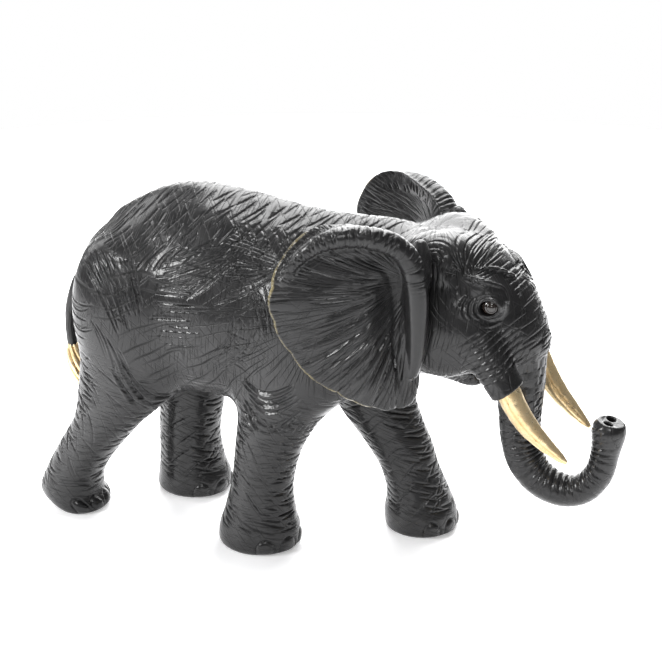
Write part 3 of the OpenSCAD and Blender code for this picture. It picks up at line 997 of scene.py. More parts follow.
class Tooling:
    """Cuts, folds and nails that stand in the mesh itself, in millimetres."""

    def relief(self, p: Floats) -> Floats:
        """How far each point of the body moves outwards.

        Args:
            p: Points of the figure, one a row.

        Returns:
            Distance in millimetres.
        """
        g = Ground(p)
        _, y, z = p.T
        s = np.where(y >= 0, SIDE_SHIFT, 0.0)
        out = 0.20 * rolling(p, 30.0, 3) + 0.06 * rolling(p, 12.0, 4)
        u, v = g.slanted(g.girth, g.spine, -36.0)
        ridge = g.barrel * smoothstep(44.0, 24.0, g.girth)
        out -= 0.66 * RIDGE_CUTS.felt(ridge, u + s, v)
        flank = (g.barrel + g.leg * smoothstep(66.0, 76.0, z)) * smoothstep(14.0, 24.0, g.girth)
        out -= felt(flank, lambda m: self.swept(g, m))
        out -= self.leg_cuts(g, s)
        out += self.nails(g, p)
        out -= self.trunk_cuts(g)
        out -= self.head_cuts(g, p, s)
        return out

    def swept(self, g: Ground, m: Floats) -> Floats:
        """Long cuts of the flanks, laid out alike on both sides but cut by hand on each.

        Args:
            g: Flows at the points.
            m: Which points to work out.

        Returns:
            Depth at those points.
        """
        at, left = np.stack([g.spine[m], g.girth[m]], 1), g.side[m] > 0
        depth = np.zeros(len(at))
        for k, family in enumerate(SWEEPS):
            for mine, seed in ((left, 300 + k), (~left, 100 + k)):
                made = family.cut(at[mine], seed)
                depth[mine] = np.where(np.abs(made) > np.abs(depth[mine]), made, depth[mine])
        return depth

    def leg_cuts(self, g: Ground, s: Floats) -> Floats:
        """Wrinkles round the legs, deepest along their front and back edges, and long arcs across them.

        Args:
            g: Flows at the points.
            s: Shift that gives each side its own draws.

        Returns:
            Depth at each point.
        """
        edge = 0.15 + 0.85 * smoothstep(0.35, 0.8, np.abs(np.cos(g.leg_angle)))
        above = g.leg * smoothstep(11.0, 16.0, g.p[:, 2]) * smoothstep(100.0, 84.0, g.p[:, 2])
        out = 0.8 * LEG_WRINKLES.felt(above * edge, g.leg_turn + s, g.leg_height)
        u, v = g.slanted(g.leg_turn, g.leg_height, 34.0)
        return out + 0.42 * LEG_ARCS.felt(above, u + s, v)

    def nails(self, g: Ground, p: Floats) -> Floats:
        """Arched toenails standing out of the front of each foot, each inside a cut line.

        Args:
            g: Flows at the points.
            p: Points of the figure, one a row.

        Returns:
            Height at each point.
        """
        out = np.zeros(len(p))
        z = p[:, 2]
        for share in g.legs.values():
            mine = (share > 0.5) & (z < 16.0)
            for degrees in NAIL_DEGREES if mine.any() else ():
                a = (g.leg_angle[mine] - math.radians(degrees)) * 18.5
                r = np.hypot(a / 4.2, np.maximum(z[mine] - 3.6, 0.0) / 5.0)
                dome = 0.6 * smoothstep(1.0, 0.6, r) * (1.0 - 0.5 * r * r)
                out[mine] += (dome - 0.7 * bell(r, 1.12, 0.12)) * smoothstep(0.6, 2.6, z[mine])
        return out

    def trunk_cuts(self, g: Ground) -> Floats:
        """Slanted strokes down the trunk, and deep pleats inside its bend.

        Args:
            g: Flows at the points.

        Returns:
            Depth at each point.
        """
        u, v = g.slanted(g.trunk_turn, g.trunk_along, 24.0)
        wave = g.bend_angle / 0.17 + 0.12 * np.sin(9.0 * g.bend_angle)
        pleats = np.abs(np.sin(math.pi * wave)) ** 0.6
        lip = smoothstep(156.0, 159.0, g.trunk_along)
        bend = smoothstep(62.0, 84.0, g.trunk_along)
        strokes = g.trunk * (1.0 - lip) * (1.0 - bend)
        out = 0.62 * TRUNK_STROKES.felt(strokes, u, v)
        return out + g.trunk * (1.0 - lip) * 0.9 * g.inside_bend * (1.0 - pleats)

    def head_cuts(self, g: Ground, p: Floats, s: Floats) -> Floats:
        """Rings over the crown, upright strokes below, a fan on the brow, and rings round the lip sheaths.

        Args:
            g: Flows at the points.
            p: Points of the figure, one a row.
            s: Shift that gives each side its own draws.

        Returns:
            Depth at each point.
        """
        x, y, z = p.T
        near = np.hypot(x - EYE[0], z - EYE[2]) + 99.0 * (np.abs(y) < 12)
        quiet = smoothstep(15.5, 11.5, near)
        ring = (x - 80.0) * 0.61 - (z - 136.0) * 0.79
        sheath = smoothstep(5.0, 9.0, ring) * (np.abs(y) > 16.5) * (z < 134) * (x > 80)
        skin = g.head * (1.0 - quiet) * (1.0 - sheath)
        top = np.hypot(x - 66.0, (z - 166.0) * 1.2)
        crown = skin * smoothstep(162.0, 166.0, z)
        out = 0.42 * CROWN_RINGS.felt(crown, 16.0 * np.arctan2(z - 160.0, x - 66.0) + s, top)
        curtain = skin * smoothstep(150.0, 154.0, z) * smoothstep(166.0, 162.0, z) * smoothstep(92.0, 84.0, x)
        out += 0.62 * CURTAIN_STROKES.felt(curtain, z + s, g.face_turn)
        reach = np.hypot(x - 80.0, z - 158.0)
        fan = skin * smoothstep(3.0, 5.0, reach) * smoothstep(22.0, 17.0, reach) * (z + 0.3 * x > 182.0)
        out += 0.55 * FOREHEAD_FAN.felt(fan, reach + s, 16.0 * np.arctan2(z - 158.0, x - 80.0))
        u, v = g.slanted(x, z, 36.0)
        brow = skin * smoothstep(96.0, 101.0, x + 0.2 * (z - 140)) * smoothstep(164.0, 158.0, z)
        out += 0.55 * BROW_STROKES.felt(brow, u + s, v)
        cheek = skin * smoothstep(152.0, 146.0, z) * smoothstep(98.0, 90.0, x)
        out += 0.26 * CHEEK_LINES.felt(cheek, z + s, g.face_turn)
        jaw = skin * smoothstep(112.0, 107.0, z)
        out += 0.4 * JAW_STROKES.felt(jaw, u + s, v)
        rings = 1.0 - np.abs(np.sin(math.pi * (ring + 0.06 * (x - 92)) / 3.3)) ** 0.5
        return out + g.head * sheath * 0.6 * rings * (ring < 31.5)

    def mark(self, obj: bpy.types.Object) -> None:
        """Leaves each vertex the flows that the fine lines follow, for the finish to read.

        Args:
            obj: Object to mark.
        """
        g = Ground(places(obj.data))
        s = np.where(g.p[:, 1] >= 0, SIDE_SHIFT, 0.0)
        shares = np.stack([g.barrel, g.leg, g.trunk, g.head])
        best = shares.argmax(0)
        gu = np.choose(best, [g.girth, g.leg_turn, g.trunk_turn, g.p[:, 2]]) + s
        gv = np.choose(best, [g.spine, g.leg_height, g.trunk_along, g.face_turn])
        depth = np.clip(2.0 * shares.max(0) - 1.0, 0.0, 1.0)
        put(obj.data, "grain", np.stack([gu, gv, depth], 1))
        flank = g.barrel * smoothstep(26.0, 46.0, g.girth)
        put(obj.data, "fan", np.stack([g.fan_reach + s, g.fan_turn, flank], 1))


def places(mesh: bpy.types.Mesh) -> Floats:
    """Vertices of a mesh, in millimetres.

    Args:
        mesh: The mesh.

    Returns:
        One row of x, y and z for each vertex.
    """
    co = np.zeros(len(mesh.vertices) * 3, np.float32)
    mesh.vertices.foreach_get("co", co)
    return co.reshape(-1, 3).astype(float) / MM


def put(mesh: bpy.types.Mesh, name: str, values: Floats) -> None:
    """Stores a vector for each vertex under a name."""
    layer = mesh.attributes.get(name) or mesh.attributes.new(name, "FLOAT_VECTOR", "POINT")
    layer.data.foreach_set("vector", values.astype(np.float32).ravel())


# ---------------------------------------------------------------- meshes


def hung(name: str, data: bpy.types.ID) -> bpy.types.Object:
    """Object for a mesh, light or camera, linked to the scene.

    Args:
        name: Name of the piece.
        data: What the object holds.

    Returns:
        The object.
    """
    obj = bpy.data.objects.new(name, data)
    bpy.context.scene.collection.objects.link(obj)
    return obj


def evaluated(obj: bpy.types.Object) -> bpy.types.Mesh:
    """Plain mesh of an object with its modifiers worked out."""
    return bpy.data.meshes.new_from_object(obj.evaluated_get(bpy.context.evaluated_depsgraph_get()))


def triangles(mesh: bpy.types.Mesh) -> int:
    """How many triangles a mesh's faces make."""
    return sum(len(f.vertices) - 2 for f in mesh.polygons)


def make_object(name: str, points: Floats, faces: Floats) -> bpy.types.Object:
    """Object from vertices in millimetres and faces that all have the same number of sides.

    Args:
        name: Name of the piece.
        points: Vertices, one a row.
        faces: Vertex numbers of each face.

    Returns:
        The object.
    """
    mesh = bpy.data.meshes.new(name)
    sides = faces.shape[1]
    mesh.vertices.add(len(points))
    mesh.vertices.foreach_set("co", (points * MM).astype(np.float32).ravel())
    mesh.loops.add(faces.size)
    mesh.loops.foreach_set("vertex_index", faces.astype(np.int32).ravel())
    mesh.polygons.add(len(faces))
    mesh.polygons.foreach_set("loop_start", np.arange(0, faces.size, sides, dtype=np.int32))
    mesh.update(calc_edges=True)
    mesh.shade_smooth()
    return hung(name, mesh)


def block(low: tuple, high: tuple) -> bpy.types.Object:
    """Plain box used only to divide a form, in millimetres.

    Args:
        low: Lowest corner of the box.
        high: Highest corner of the box.

    Returns:
        The box.
    """
    corners = np.array([[(low, high)[a][0], (low, high)[b][1], (low, high)[c][2]]
                        for a in (0, 1) for b in (0, 1) for c in (0, 1)], float)
    faces = np.array([[0, 1, 3, 2], [4, 6, 7, 5], [0, 4, 5, 1], [2, 3, 7, 6], [0, 2, 6, 4], [1, 5, 7, 3]])
    return make_object("divider", corners, faces)


def drill(start: tuple, end: tuple, radius: float) -> bpy.types.Object:
    """Round cutter for a dowel's bore, from one point to another, in millimetres.

    Args:
        start: Centre of one end.
        end: Centre of the other end.
        radius: Radius of the bore.

    Returns:
        The cutter.
    """
    sides = 48
    a, b = np.array(start, float), np.array(end, float)
    axis = (b - a) / np.linalg.norm(b - a)
    across = np.cross(axis, (0.0, 0.0, 1.0) if abs(axis[2]) < 0.9 else (1.0, 0.0, 0.0))
    across /= np.linalg.norm(across)
    turn = 2.0 * math.pi * np.arange(sides)[:, None] / sides
    ring = radius * (np.cos(turn) * across + np.sin(turn) * np.cross(axis, across))
    points = np.concatenate([a + ring, b + ring, [a, b]])
    k = np.arange(sides)
    nxt = (k + 1) % sides
    low, high = np.full(sides, 2 * sides), np.full(sides, 2 * sides + 1)
    faces = np.concatenate([np.stack(t, 1) for t in ((k, nxt, nxt + sides), (k, nxt + sides, k + sides),
                                                     (nxt, k, low), (k + sides, nxt + sides, high))])
    return make_object("drill", points, faces)


def divided(obj: bpy.types.Object, keep: list, remove: list) -> bpy.types.Object:
    """Cuts an object along the glue faces and drills it.

    Args:
        obj: Closed form to divide, which is used up.
        keep: Blocks that the piece lies inside.
        remove: Blocks and drills taken away from it.

    Returns:
        The piece as a plain mesh with crisp edges where it was cut.
    """
    for operation, tools in (("INTERSECT", keep), ("DIFFERENCE", remove)):
        if tools:
            group = bpy.data.collections.new(operation)
            for tool in tools:
                group.objects.link(tool)
            step = obj.modifiers.new("divide", "BOOLEAN")
            step.operation, step.solver, step.operand_type = operation, "MANIFOLD", "COLLECTION"
            step.collection = group
    made = evaluated(obj)
    name = obj.name
    for spent in [obj, *keep, *remove]:
        bpy.data.objects.remove(spent)
    for group in list(bpy.data.collections):
        if group.name.startswith(("INTERSECT", "DIFFERENCE")):
            bpy.data.collections.remove(group)
    made.name = name
    return hung(name, made)


def slimmed(obj: bpy.types.Object, most: int) -> bpy.types.Object:
    """Drops triangles where the surface is even, and keeps them along the cuts.

    Args:
        obj: Piece to slim, which is used up.
        most: Largest number of triangles to leave.

    Returns:
        The piece with no more than that.
    """
    count = triangles(obj.data)
    if count > most:
        step = obj.modifiers.new("slim", "DECIMATE")
        step.ratio = most / count
        made = evaluated(obj)
        obj.modifiers.clear()
        obj.data = made
    return obj


def crisp(obj: bpy.types.Object, degrees: float) -> None:
    """Smooth shading that breaks at edges sharper than an angle."""
    obj.data.shade_smooth()
    obj.data.set_sharp_from_angle(angle=math.radians(degrees))


# ---------------------------------------------------------------- finishes


class Sheen(Enum):
    """How rough each finish is at its middle."""

    LACQUERED = 0.31
    LEAFED = 0.36
    POLISHED = 0.12
    BARE = 0.62


@dataclass(frozen=True)
class Wire:
    """Short way to add nodes to a tree and join them. A value is a number, a colour or another node's output."""

    tree: bpy.types.NodeTree

    def node(self, kind: str, inputs: dict | None = None, **settings: object) -> bpy.types.Node:
        """Adds a node.

        Args:
            kind: The node's type.
            inputs: Values by the sockets' names or numbers.
            settings: The node's own properties, set before its sockets are filled.

        Returns:
            The node, filled and linked.
        """
        made = self.tree.nodes.new(kind)
        for key, value in settings.items():
            setattr(made, key, value)
        for key, value in (inputs or {}).items():
            socket = made.inputs[key]
            if isinstance(value, bpy.types.NodeSocket):
                self.tree.links.new(value, socket)
            else:
                socket.default_value = value
        return made

    def sum(self, operation: str, *values: object) -> bpy.types.NodeSocket:
        """Output of a math node."""
        return self.node("ShaderNodeMath", dict(enumerate(values)), operation=operation).outputs[0]

    def plus(self, a: object, b: object) -> bpy.types.NodeSocket:
        """Sum of two values."""
        return self.sum("ADD", a, b)

    def less(self, a: object, b: object) -> bpy.types.NodeSocket:
        """The first value less the second."""
        return self.sum("SUBTRACT", a, b)

    def times(self, a: object, b: object) -> bpy.types.NodeSocket:
        """Product of two values."""
        return self.sum("MULTIPLY", a, b)

    def over(self, a: object, b: object) -> bpy.types.NodeSocket:
        """The first value divided by the second."""
        return self.sum("DIVIDE", a, b)

    def clamp(self, value: object) -> bpy.types.NodeSocket:
        """A value held between 0 and 1."""
        return self.node("ShaderNodeClamp", {0: value}).outputs[0]

    def mix(self, share: object, a: object, b: object) -> bpy.types.NodeSocket:
        """Colour between two others."""
        return self.node("ShaderNodeMix", {"Factor": share, "A": a, "B": b}, data_type="RGBA").outputs["Result"]

    def spread(self, value: object, low: float, high: float) -> bpy.types.NodeSocket:
        """A value from 0 to 1, stretched between two others."""
        return self.node("ShaderNodeMapRange", {"Value": value, "To Min": low, "To Max": high}).outputs[0]

    def above(self, value: object, low: float, high: float) -> bpy.types.NodeSocket:
        """Share from 0 to 1 of the way that a value lies between two others."""
        return self.node("ShaderNodeMapRange", {"Value": value, "From Min": low, "From Max": high}).outputs[0]

    def noise(self, at: object, scale: object, detail: float) -> bpy.types.NodeSocket:
        """Soft noise at a place."""
        return self.node("ShaderNodeTexNoise", {"Vector": at, "Scale": scale, "Detail": detail}).outputs[0]

    def place(self) -> bpy.types.NodeSocket:
        """Place on the piece, in Object coordinates."""
        return self.node("ShaderNodeTexCoord").outputs["Object"]

    def parts(self, vector: object) -> bpy.types.NodeOutputs:
        """The three parts of a vector."""
        return self.node("ShaderNodeSeparateXYZ", {0: vector}).outputs

    def mark(self, name: str, output: str) -> bpy.types.NodeSocket:
        """What a piece has stored on its surface under a name, for a finish."""
        return self.node("ShaderNodeAttribute", attribute_name=name).outputs[output]

    def stored(self, geometry: object, name: str, value: object) -> bpy.types.NodeSocket:
        """Geometry with a number stored at each of its points."""
        return self.node("GeometryNodeStoreNamedAttribute", {"Geometry": geometry, "Name": name, "Value": value},
                         data_type="FLOAT", domain="POINT").outputs[0]

    def read(self, name: str) -> bpy.types.NodeSocket:
        """Number stored at each point under a name."""
        return self.node("GeometryNodeInputNamedAttribute", {"Name": name}, data_type="FLOAT").outputs[0]


def group_inputs(tree: bpy.types.NodeTree, sockets: dict) -> bpy.types.NodeOutputs:
    """Declares a group's inputs.

    Args:
        tree: The group.
        sockets: Default of each input by its name, or None for a vector.

    Returns:
        The inputs as the group's own nodes read them.
    """
    for name, value in sockets.items():
        kind = "NodeSocketVector" if value is None else "NodeSocketFloat"
        socket = tree.interface.new_socket(name, in_out="INPUT", socket_type=kind)
        if value is not None:
            socket.default_value = value
    return tree.nodes.new("NodeGroupInput").outputs


def fine_cuts_group() -> bpy.types.NodeTree:
    """Node group that draws rows of hairline V cuts along a flow stored on the surface.

    Returns:
        Group with inputs Flow, Spacing, Length, Width, Turn and Seed, and the output Depth from 0 to 1.
    """
    tree = bpy.data.node_groups.new("fine_cuts", "ShaderNodeTree")
    w = Wire(tree)
    given = group_inputs(tree, {"Flow": None, "Spacing": 1.8, "Length": 10.0, "Width": 0.3, "Turn": 0.0,
                                "Seed": 0.0})
    tree.interface.new_socket("Depth", in_out="OUTPUT", socket_type="NodeSocketFloat")
    turned = w.node("ShaderNodeVectorRotate", {"Vector": given["Flow"], "Angle": given["Turn"]},
                    rotation_type="Z_AXIS").outputs[0]
    wander = w.node("ShaderNodeTexNoise", {"Vector": turned, "Scale": 0.03, "Detail": 1.0},
                    noise_dimensions="2D").outputs[0]
    place = w.parts(turned)
    drift = w.times(w.less(wander, 0.5), 6.0)
    along = w.over(w.plus(place[0], given["Seed"]), given["Length"])
    across = w.over(w.plus(place[1], drift), given["Spacing"])
    cell = w.node("ShaderNodeCombineXYZ", {0: along, 1: across}).outputs[0]
    nearest = w.node("ShaderNodeTexVoronoi", {"Vector": cell, "Scale": 1.0, "Randomness": 0.9},
                     voronoi_dimensions="2D", feature="F1", distance="EUCLIDEAN").outputs
    off = w.parts(w.node("ShaderNodeVectorMath", {0: cell, 1: nearest["Position"]},
                         operation="SUBTRACT").outputs[0])
    draw = w.node("ShaderNodeSeparateColor", {0: nearest["Color"]}).outputs[0]
    level = w.plus(off[1], w.times(off[0], w.times(w.less(draw, 0.5), 0.5)))
    from_line = w.times(w.sum("ABSOLUTE", level), given["Spacing"])
    fade = w.clamp(w.less(1.0, w.sum("POWER", w.times(w.sum("ABSOLUTE", off[0]), 2.0), 2.0)))
    reach = w.times(given["Width"], w.sum("SQRT", fade))
    groove = w.clamp(w.less(1.0, w.over(from_line, w.plus(reach, 0.01))))
    w.node("NodeGroupOutput", {"Depth": w.times(groove, fade)})
    return tree


def wear_group() -> bpy.types.NodeTree:
    """Node group for the patchiness of a hand-rubbed finish, on Object coordinates.

    Returns:
        Group with inputs Scale and Contrast, and outputs Patches from 0 to 1 and Specks from 0 to 1.
    """
    tree = bpy.data.node_groups.new("rubbed_wear", "ShaderNodeTree")
    w = Wire(tree)
    given = group_inputs(tree, {"Scale": 90.0, "Contrast": 1.0})
    for name in ("Patches", "Specks"):
        tree.interface.new_socket(name, in_out="OUTPUT", socket_type="NodeSocketFloat")
    at = w.place()
    broad = w.node("ShaderNodeTexNoise", {"Vector": at, "Scale": given["Scale"], "Detail": 4.0,
                                          "Roughness": 0.6}).outputs[0]
    patches = w.clamp(w.plus(w.times(w.less(broad, 0.5), given["Contrast"]), 0.5))
    specks = w.above(w.noise(at, w.times(given["Scale"], 11.0), 2.0), 0.62, 0.72)
    w.node("NodeGroupOutput", {"Patches": patches, "Specks": specks})
    return tree


@dataclass(frozen=True)
class Finish:
    """A material's name, and the steps that every finish shares."""

    name: str

    def start(self) -> tuple[bpy.types.Material, Wire]:
        """Makes an empty material.

        Returns:
            The material, and the wire that fills it.
        """
        mat = bpy.data.materials.new(self.name)
        mat.use_nodes = True
        mat.node_tree.nodes.clear()
        return mat, Wire(mat.node_tree)

    def wear(self, w: Wire, groups: dict, scale: float, contrast: float = 1.0) -> bpy.types.NodeOutputs:
        """Places the wear group.

        Args:
            w: The material's wire.
            groups: The shared node groups by name.
            scale: How small its patches are.
            contrast: How strongly they show.

        Returns:
            Its outputs Patches and Specks.
        """
        node = w.node("ShaderNodeGroup", node_tree=groups["wear"])
        node.inputs["Scale"].default_value = scale
        node.inputs["Contrast"].default_value = contrast
        return node.outputs

    def close(self, w: Wire, inputs: dict) -> None:
        """Makes the shader and joins it to the material's output."""
        shader = w.node("ShaderNodeBsdfPrincipled", inputs)
        w.node("ShaderNodeOutputMaterial", {"Surface": shader.outputs[0]})


@dataclass(frozen=True)
class Hairlines:
    """One layer of hairline cuts: the flow that it follows, its sizes, its turn in radians and its strength."""

    flow: str
    spacing: float
    length: float
    width: float
    turn: float
    seed: float
    strength: float

    def build(self, w: Wire, groups: dict) -> bpy.types.NodeSocket:
        """Places the cuts group with this layer's values.

        Args:
            w: The material's wire.
            groups: The shared node groups by name.

        Returns:
            Depth of the layer's cuts, weighed by the third part of its flow.
        """
        cuts = w.node("ShaderNodeGroup", node_tree=groups["cuts"])
        flow = w.mark(self.flow, "Vector")
        w.tree.links.new(flow, cuts.inputs["Flow"])
        for name in ("Spacing", "Length", "Width", "Turn", "Seed"):
            cuts.inputs[name].default_value = getattr(self, name.lower())
        return w.times(cuts.outputs["Depth"], w.times(w.parts(flow)[2], self.strength))


@dataclass(frozen=True)
class Lacquer(Finish):
    """Opaque black lacquer over hand-cut lines."""

    depth: float = 0.00030
    worn_edge: bool = False
    dark: tuple = (0.008, 0.008, 0.0085, 1)
    pale: tuple = (0.017, 0.0165, 0.017, 1)
    # painted shade: the near-black that the cuts are darkened to, in place of the shade that falls in them
    groove: tuple = (0.002, 0.002, 0.002, 1)
    rubbed: tuple = (0.27, 0.22, 0.10, 1)
    layers: tuple = (
        Hairlines("grain", 1.9, 12.0, 0.30, 0.10, 3.0, 0.7),
        Hairlines("grain", 4.1, 26.0, 0.42, -0.72, 57.0, 0.5),
        Hairlines("grain", 4.9, 22.0, 0.38, 0.80, 91.0, 0.3),
        Hairlines("fan", 3.1, 34.0, 0.45, 0.06, 13.0, 1.0),
    )

    def build(self, groups: dict) -> bpy.types.Material:
        """Makes the lacquer with its hairlines, unevenness, painted shade in the cuts and, on ears, the rubbed
        rim.

        Args:
            groups: The shared node groups by name.

        Returns:
            The material.
        """
        mat, w = self.start()
        total = None
        for layer in self.layers:
            cuts = layer.build(w, groups)
            total = cuts if total is None else w.sum("MAXIMUM", total, cuts)
        patches = self.wear(w, groups, 70.0, 1.6)["Patches"]
        height = w.plus(w.times(total, -1.0), w.times(w.noise(w.place(), 900.0, 3.0), 0.10))
        bump = w.node("ShaderNodeBump", {"Strength": 1.0, "Distance": self.depth, "Height": height}).outputs[0]
        # painted shade: the base colour goes towards the groove colour where the cuts are deep
        colour = w.mix(w.times(total, 0.9), w.mix(patches, self.dark, self.pale), self.groove)
        if self.worn_edge:
            rim = w.plus(w.mark("rim", "Fac"), w.times(w.less(patches, 0.5), 1.1))
            colour = w.mix(w.times(w.above(rim, 0.6, 1.2), 0.75), colour, self.rubbed)
        rough = w.spread(patches, Sheen.LACQUERED.value - 0.05, Sheen.LACQUERED.value + 0.10)
        # painted shade as well: the coat is thinned where the cuts are deep, so they reflect less
        self.close(w, {"Base Color": colour, "Roughness": w.plus(rough, w.times(total, 0.3)), "Normal": bump,
                       "Specular IOR Level": 0.3, "Coat Weight": w.less(0.4, w.times(total, 0.4)),
                       "Coat Roughness": 0.12})
        return mat


@dataclass(frozen=True)
class GoldLeaf(Finish):
    """Pale gold leaf laid over dark size, rubbed thin in places."""

    light: tuple = (1.0, 0.82, 0.52, 1)
    deep: tuple = (0.80, 0.54, 0.22, 1)
    ochre: tuple = (0.42, 0.22, 0.05, 1)
    size: tuple = (0.05, 0.035, 0.02, 1)

    def build(self, groups: dict) -> bpy.types.Material:
        """Makes the leaf with its tone, darker creases, specks and brushed unevenness.

        Args:
            groups: The shared node groups by name.

        Returns:
            The material.
        """
        mat, w = self.start()
        wear = self.wear(w, groups, 170.0, 1.8)
        stretched = w.node("ShaderNodeMapping", {"Vector": w.place(), "Rotation": (0.0, 0.9, 0.0),
                                                 "Scale": (90.0, 420.0, 420.0)}).outputs[0]
        streaks = w.noise(stretched, 1.0, 3.0)
        tone = w.clamp(w.plus(w.times(wear["Patches"], 0.5), w.times(w.less(streaks, 0.5), 0.9)))
        leaf = w.mix(w.mark("crease", "Fac"), w.mix(tone, self.light, self.deep), self.ochre)
        gaps = w.times(wear["Specks"], 0.8)
        height = w.plus(streaks, w.times(wear["Patches"], 0.6))
        bump = w.node("ShaderNodeBump", {"Strength": 0.5, "Distance": 0.0002, "Height": height}).outputs[0]
        self.close(w, {"Base Color": w.mix(gaps, leaf, self.size), "Metallic": w.less(0.85, w.times(gaps, 0.7)),
                       "Roughness": w.spread(tone, Sheen.LEAFED.value - 0.10, Sheen.LEAFED.value + 0.10),
                       "Normal": bump})
        return mat


@dataclass(frozen=True)
class Bead(Finish):
    """Hard black bead, polished, with a faint brown depth."""

    colour: tuple = (0.012, 0.009, 0.008, 1)
    brown: tuple = (0.022, 0.016, 0.013, 1)

    def build(self, groups: dict) -> bpy.types.Material:
        """Makes the polished black.

        Args:
            groups: The shared node groups by name.

        Returns:
            The material.
        """
        mat, w = self.start()
        patches = self.wear(w, groups, 500.0)["Patches"]
        rough = w.spread(patches, Sheen.POLISHED.value - 0.04, Sheen.POLISHED.value + 0.04)
        self.close(w, {"Base Color": w.mix(patches, self.colour, self.brown), "Roughness": rough,
                       "Coat Weight": 0.8, "Coat Roughness": 0.05})
        return mat


@dataclass(frozen=True)
class RawBeech(Finish):
    """Unfinished beech of the dowels, with flecks and pale pores."""

    pale: tuple = (0.62, 0.42, 0.24, 1)
    brown: tuple = (0.45, 0.28, 0.15, 1)
    fleck: tuple = (0.33, 0.19, 0.10, 1)

    def build(self, groups: dict) -> bpy.types.Material:
        """Makes the beech.

        Args:
            groups: The shared node groups by name.

        Returns:
            The material.
        """
        mat, w = self.start()
        specks = self.wear(w, groups, 260.0)["Specks"]
        grain = w.noise(w.place(), 900.0, 4.0)
        tone = w.mix(specks, w.mix(grain, self.pale, self.brown), self.fleck)
        bump = w.node("ShaderNodeBump", {"Strength": 0.4, "Distance": 0.0001, "Height": grain}).outputs[0]
        self.close(w, {"Base Color": tone, "Roughness": Sheen.BARE.value, "Normal": bump})
        return mat


# ---------------------------------------------------------------- the figure's pieces


@dataclass
class Piece:
    """Something made, with the CAD nodes it stands for and its material slot."""

    obj: bpy.types.Object
    nodes: tuple
    slot: str

    def place(self, material: bpy.types.Material) -> None:
        """Dresses the piece and fixes it to the frame.

        Args:
            material: Its finish.
        """
        self.obj.data.materials.clear()
        self.obj.data.materials.append(material)
        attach(self.obj, "root")
        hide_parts(*self.nodes)
        mesh = self.obj.data
        log.info("%s: %d vertices, %d triangles", self.obj.name, len(mesh.vertices), triangles(mesh))


class Blocks:
    """Corner pairs of the blocks between the glue faces, in millimetres."""

    WIDE = 400.0

    @staticmethod
    def leg(name: str) -> tuple:
        """Block that one leg lies in.

        Args:
            name: Name of the leg.

        Returns:
            The block's corners.
        """
        k, wide, s = STRIDE.keel_half, Blocks.WIDE, STRIDE
        return {
            "leg_front_left": ((-24, k, -10), (90, wide, s.front_seat)),
            "leg_front_right": ((-62, -wide, -10), (24, -k, s.front_seat)),
            "leg_rear_left": ((-170, k, -10), (-58, wide, s.rear_seat)),
            "leg_rear_right": ((-170, -wide, -10), (-64, -k, s.rear_seat)),
        }[name]

    @staticmethod
    def neck() -> tuple:
        """Block ahead of the neck's glue face."""
        return (STRIDE.neck_x, -Blocks.WIDE, -50), (Blocks.WIDE,) * 3

    @staticmethod
    def trunk() -> tuple:
        """Block below and ahead of the trunk's glue faces."""
        half = STRIDE.trunk_seat_half
        return (STRIDE.trunk_seat_back, -half, -10), (Blocks.WIDE, half, STRIDE.trunk_seat)


@dataclass(frozen=True)
class Bores:
    """Where the dowels cross the glue faces: start, end and radius of each bore, in millimetres."""

    half: float = 18.3
    leg_at: tuple = (("leg_front_left", 9, 24), ("leg_front_right", -9, -24), ("leg_rear_left", -96, 21),
                     ("leg_rear_right", -97, -21))
    ear_z: tuple = (128, 160)

    def legs(self, only: str = "") -> list:
        """Bores across the leg seats, all of them or one leg's.

        Args:
            only: Name of one leg, or nothing for all.

        Returns:
            Both ends and the radius of each bore.
        """
        made = []
        for name, x, y in self.leg_at:
            z = STRIDE.front_seat if "front" in name else STRIDE.rear_seat
            if not only or name == only:
                made.append(((x, y, z - self.half), (x, y, z + self.half), STRIDE.dowel))
        return made

    def neck(self) -> list:
        """Bores across the neck's glue face."""
        return [((STRIDE.neck_x - self.half, 0, z), (STRIDE.neck_x + self.half, 0, z), STRIDE.dowel)
                for z in (124, 152)]

    def trunk(self) -> list:
        """Bore across the top of the trunk."""
        z, half = STRIDE.trunk_seat, 14.3
        return [((99.5, 0, z - half), (99.5, 0, z + half), STRIDE.trunk_dowel)]

    def ears(self, side: float) -> list:
        """Pin bores of one ear."""
        return [((57, side * 21.7, z), (57, side * 37.3, z), STRIDE.ear_pin) for z in self.ear_z]

    def tusk(self, side: float) -> list:
        """Bore for a tusk's tenon."""
        return [((103.0, side * 25.2, 105.0), (92.5, side * 22.1, 119.3), 3.6)]

    def tail(self) -> list:
        """Bore for the tail's peg."""
        return [((-140.0, 0, 118.5), (-122.1, 0, 138.6), 2.6)]


BORES = Bores()


@dataclass
class Blank:
    """Block of the body that is carved on its own: how finely, and how many triangles it may keep."""

    step: float
    most: int = 195000
    tooling: Tooling = field(default_factory=Tooling)

    def carve(self, name: str, low: tuple, high: tuple, keep: list, remove: list) -> Piece:
        """Models one block of the body, cuts its lines and divides it from its neighbours.

        Args:
            name: The node that the piece stands for.
            low: Lowest corner of the clay, a little outside the piece.
            high: Highest corner.
            keep: Corner pairs of blocks that the piece lies in.
            remove: Corner pairs of blocks cut away, and bores.

        Returns:
            The finished piece.
        """
        clay = Clay(low, high, self.step * (1.0))
        BODY.model(clay)
        points, faces = clay.carved(lambda p, _: self.tooling.relief(p))
        points[:, 2] = np.maximum(points[:, 2], 0.0)
        raw = make_object("carved_" + name, points, faces)
        tools = [block(*r) if len(r) == 2 else drill(*r) for r in remove]
        piece = slimmed(divided(raw, [block(*k) for k in keep], tools), self.most)
        crisp(piece, CUT_EDGE)
        self.tooling.mark(piece)
        return Piece(piece, (name,), "lacquered_wood")


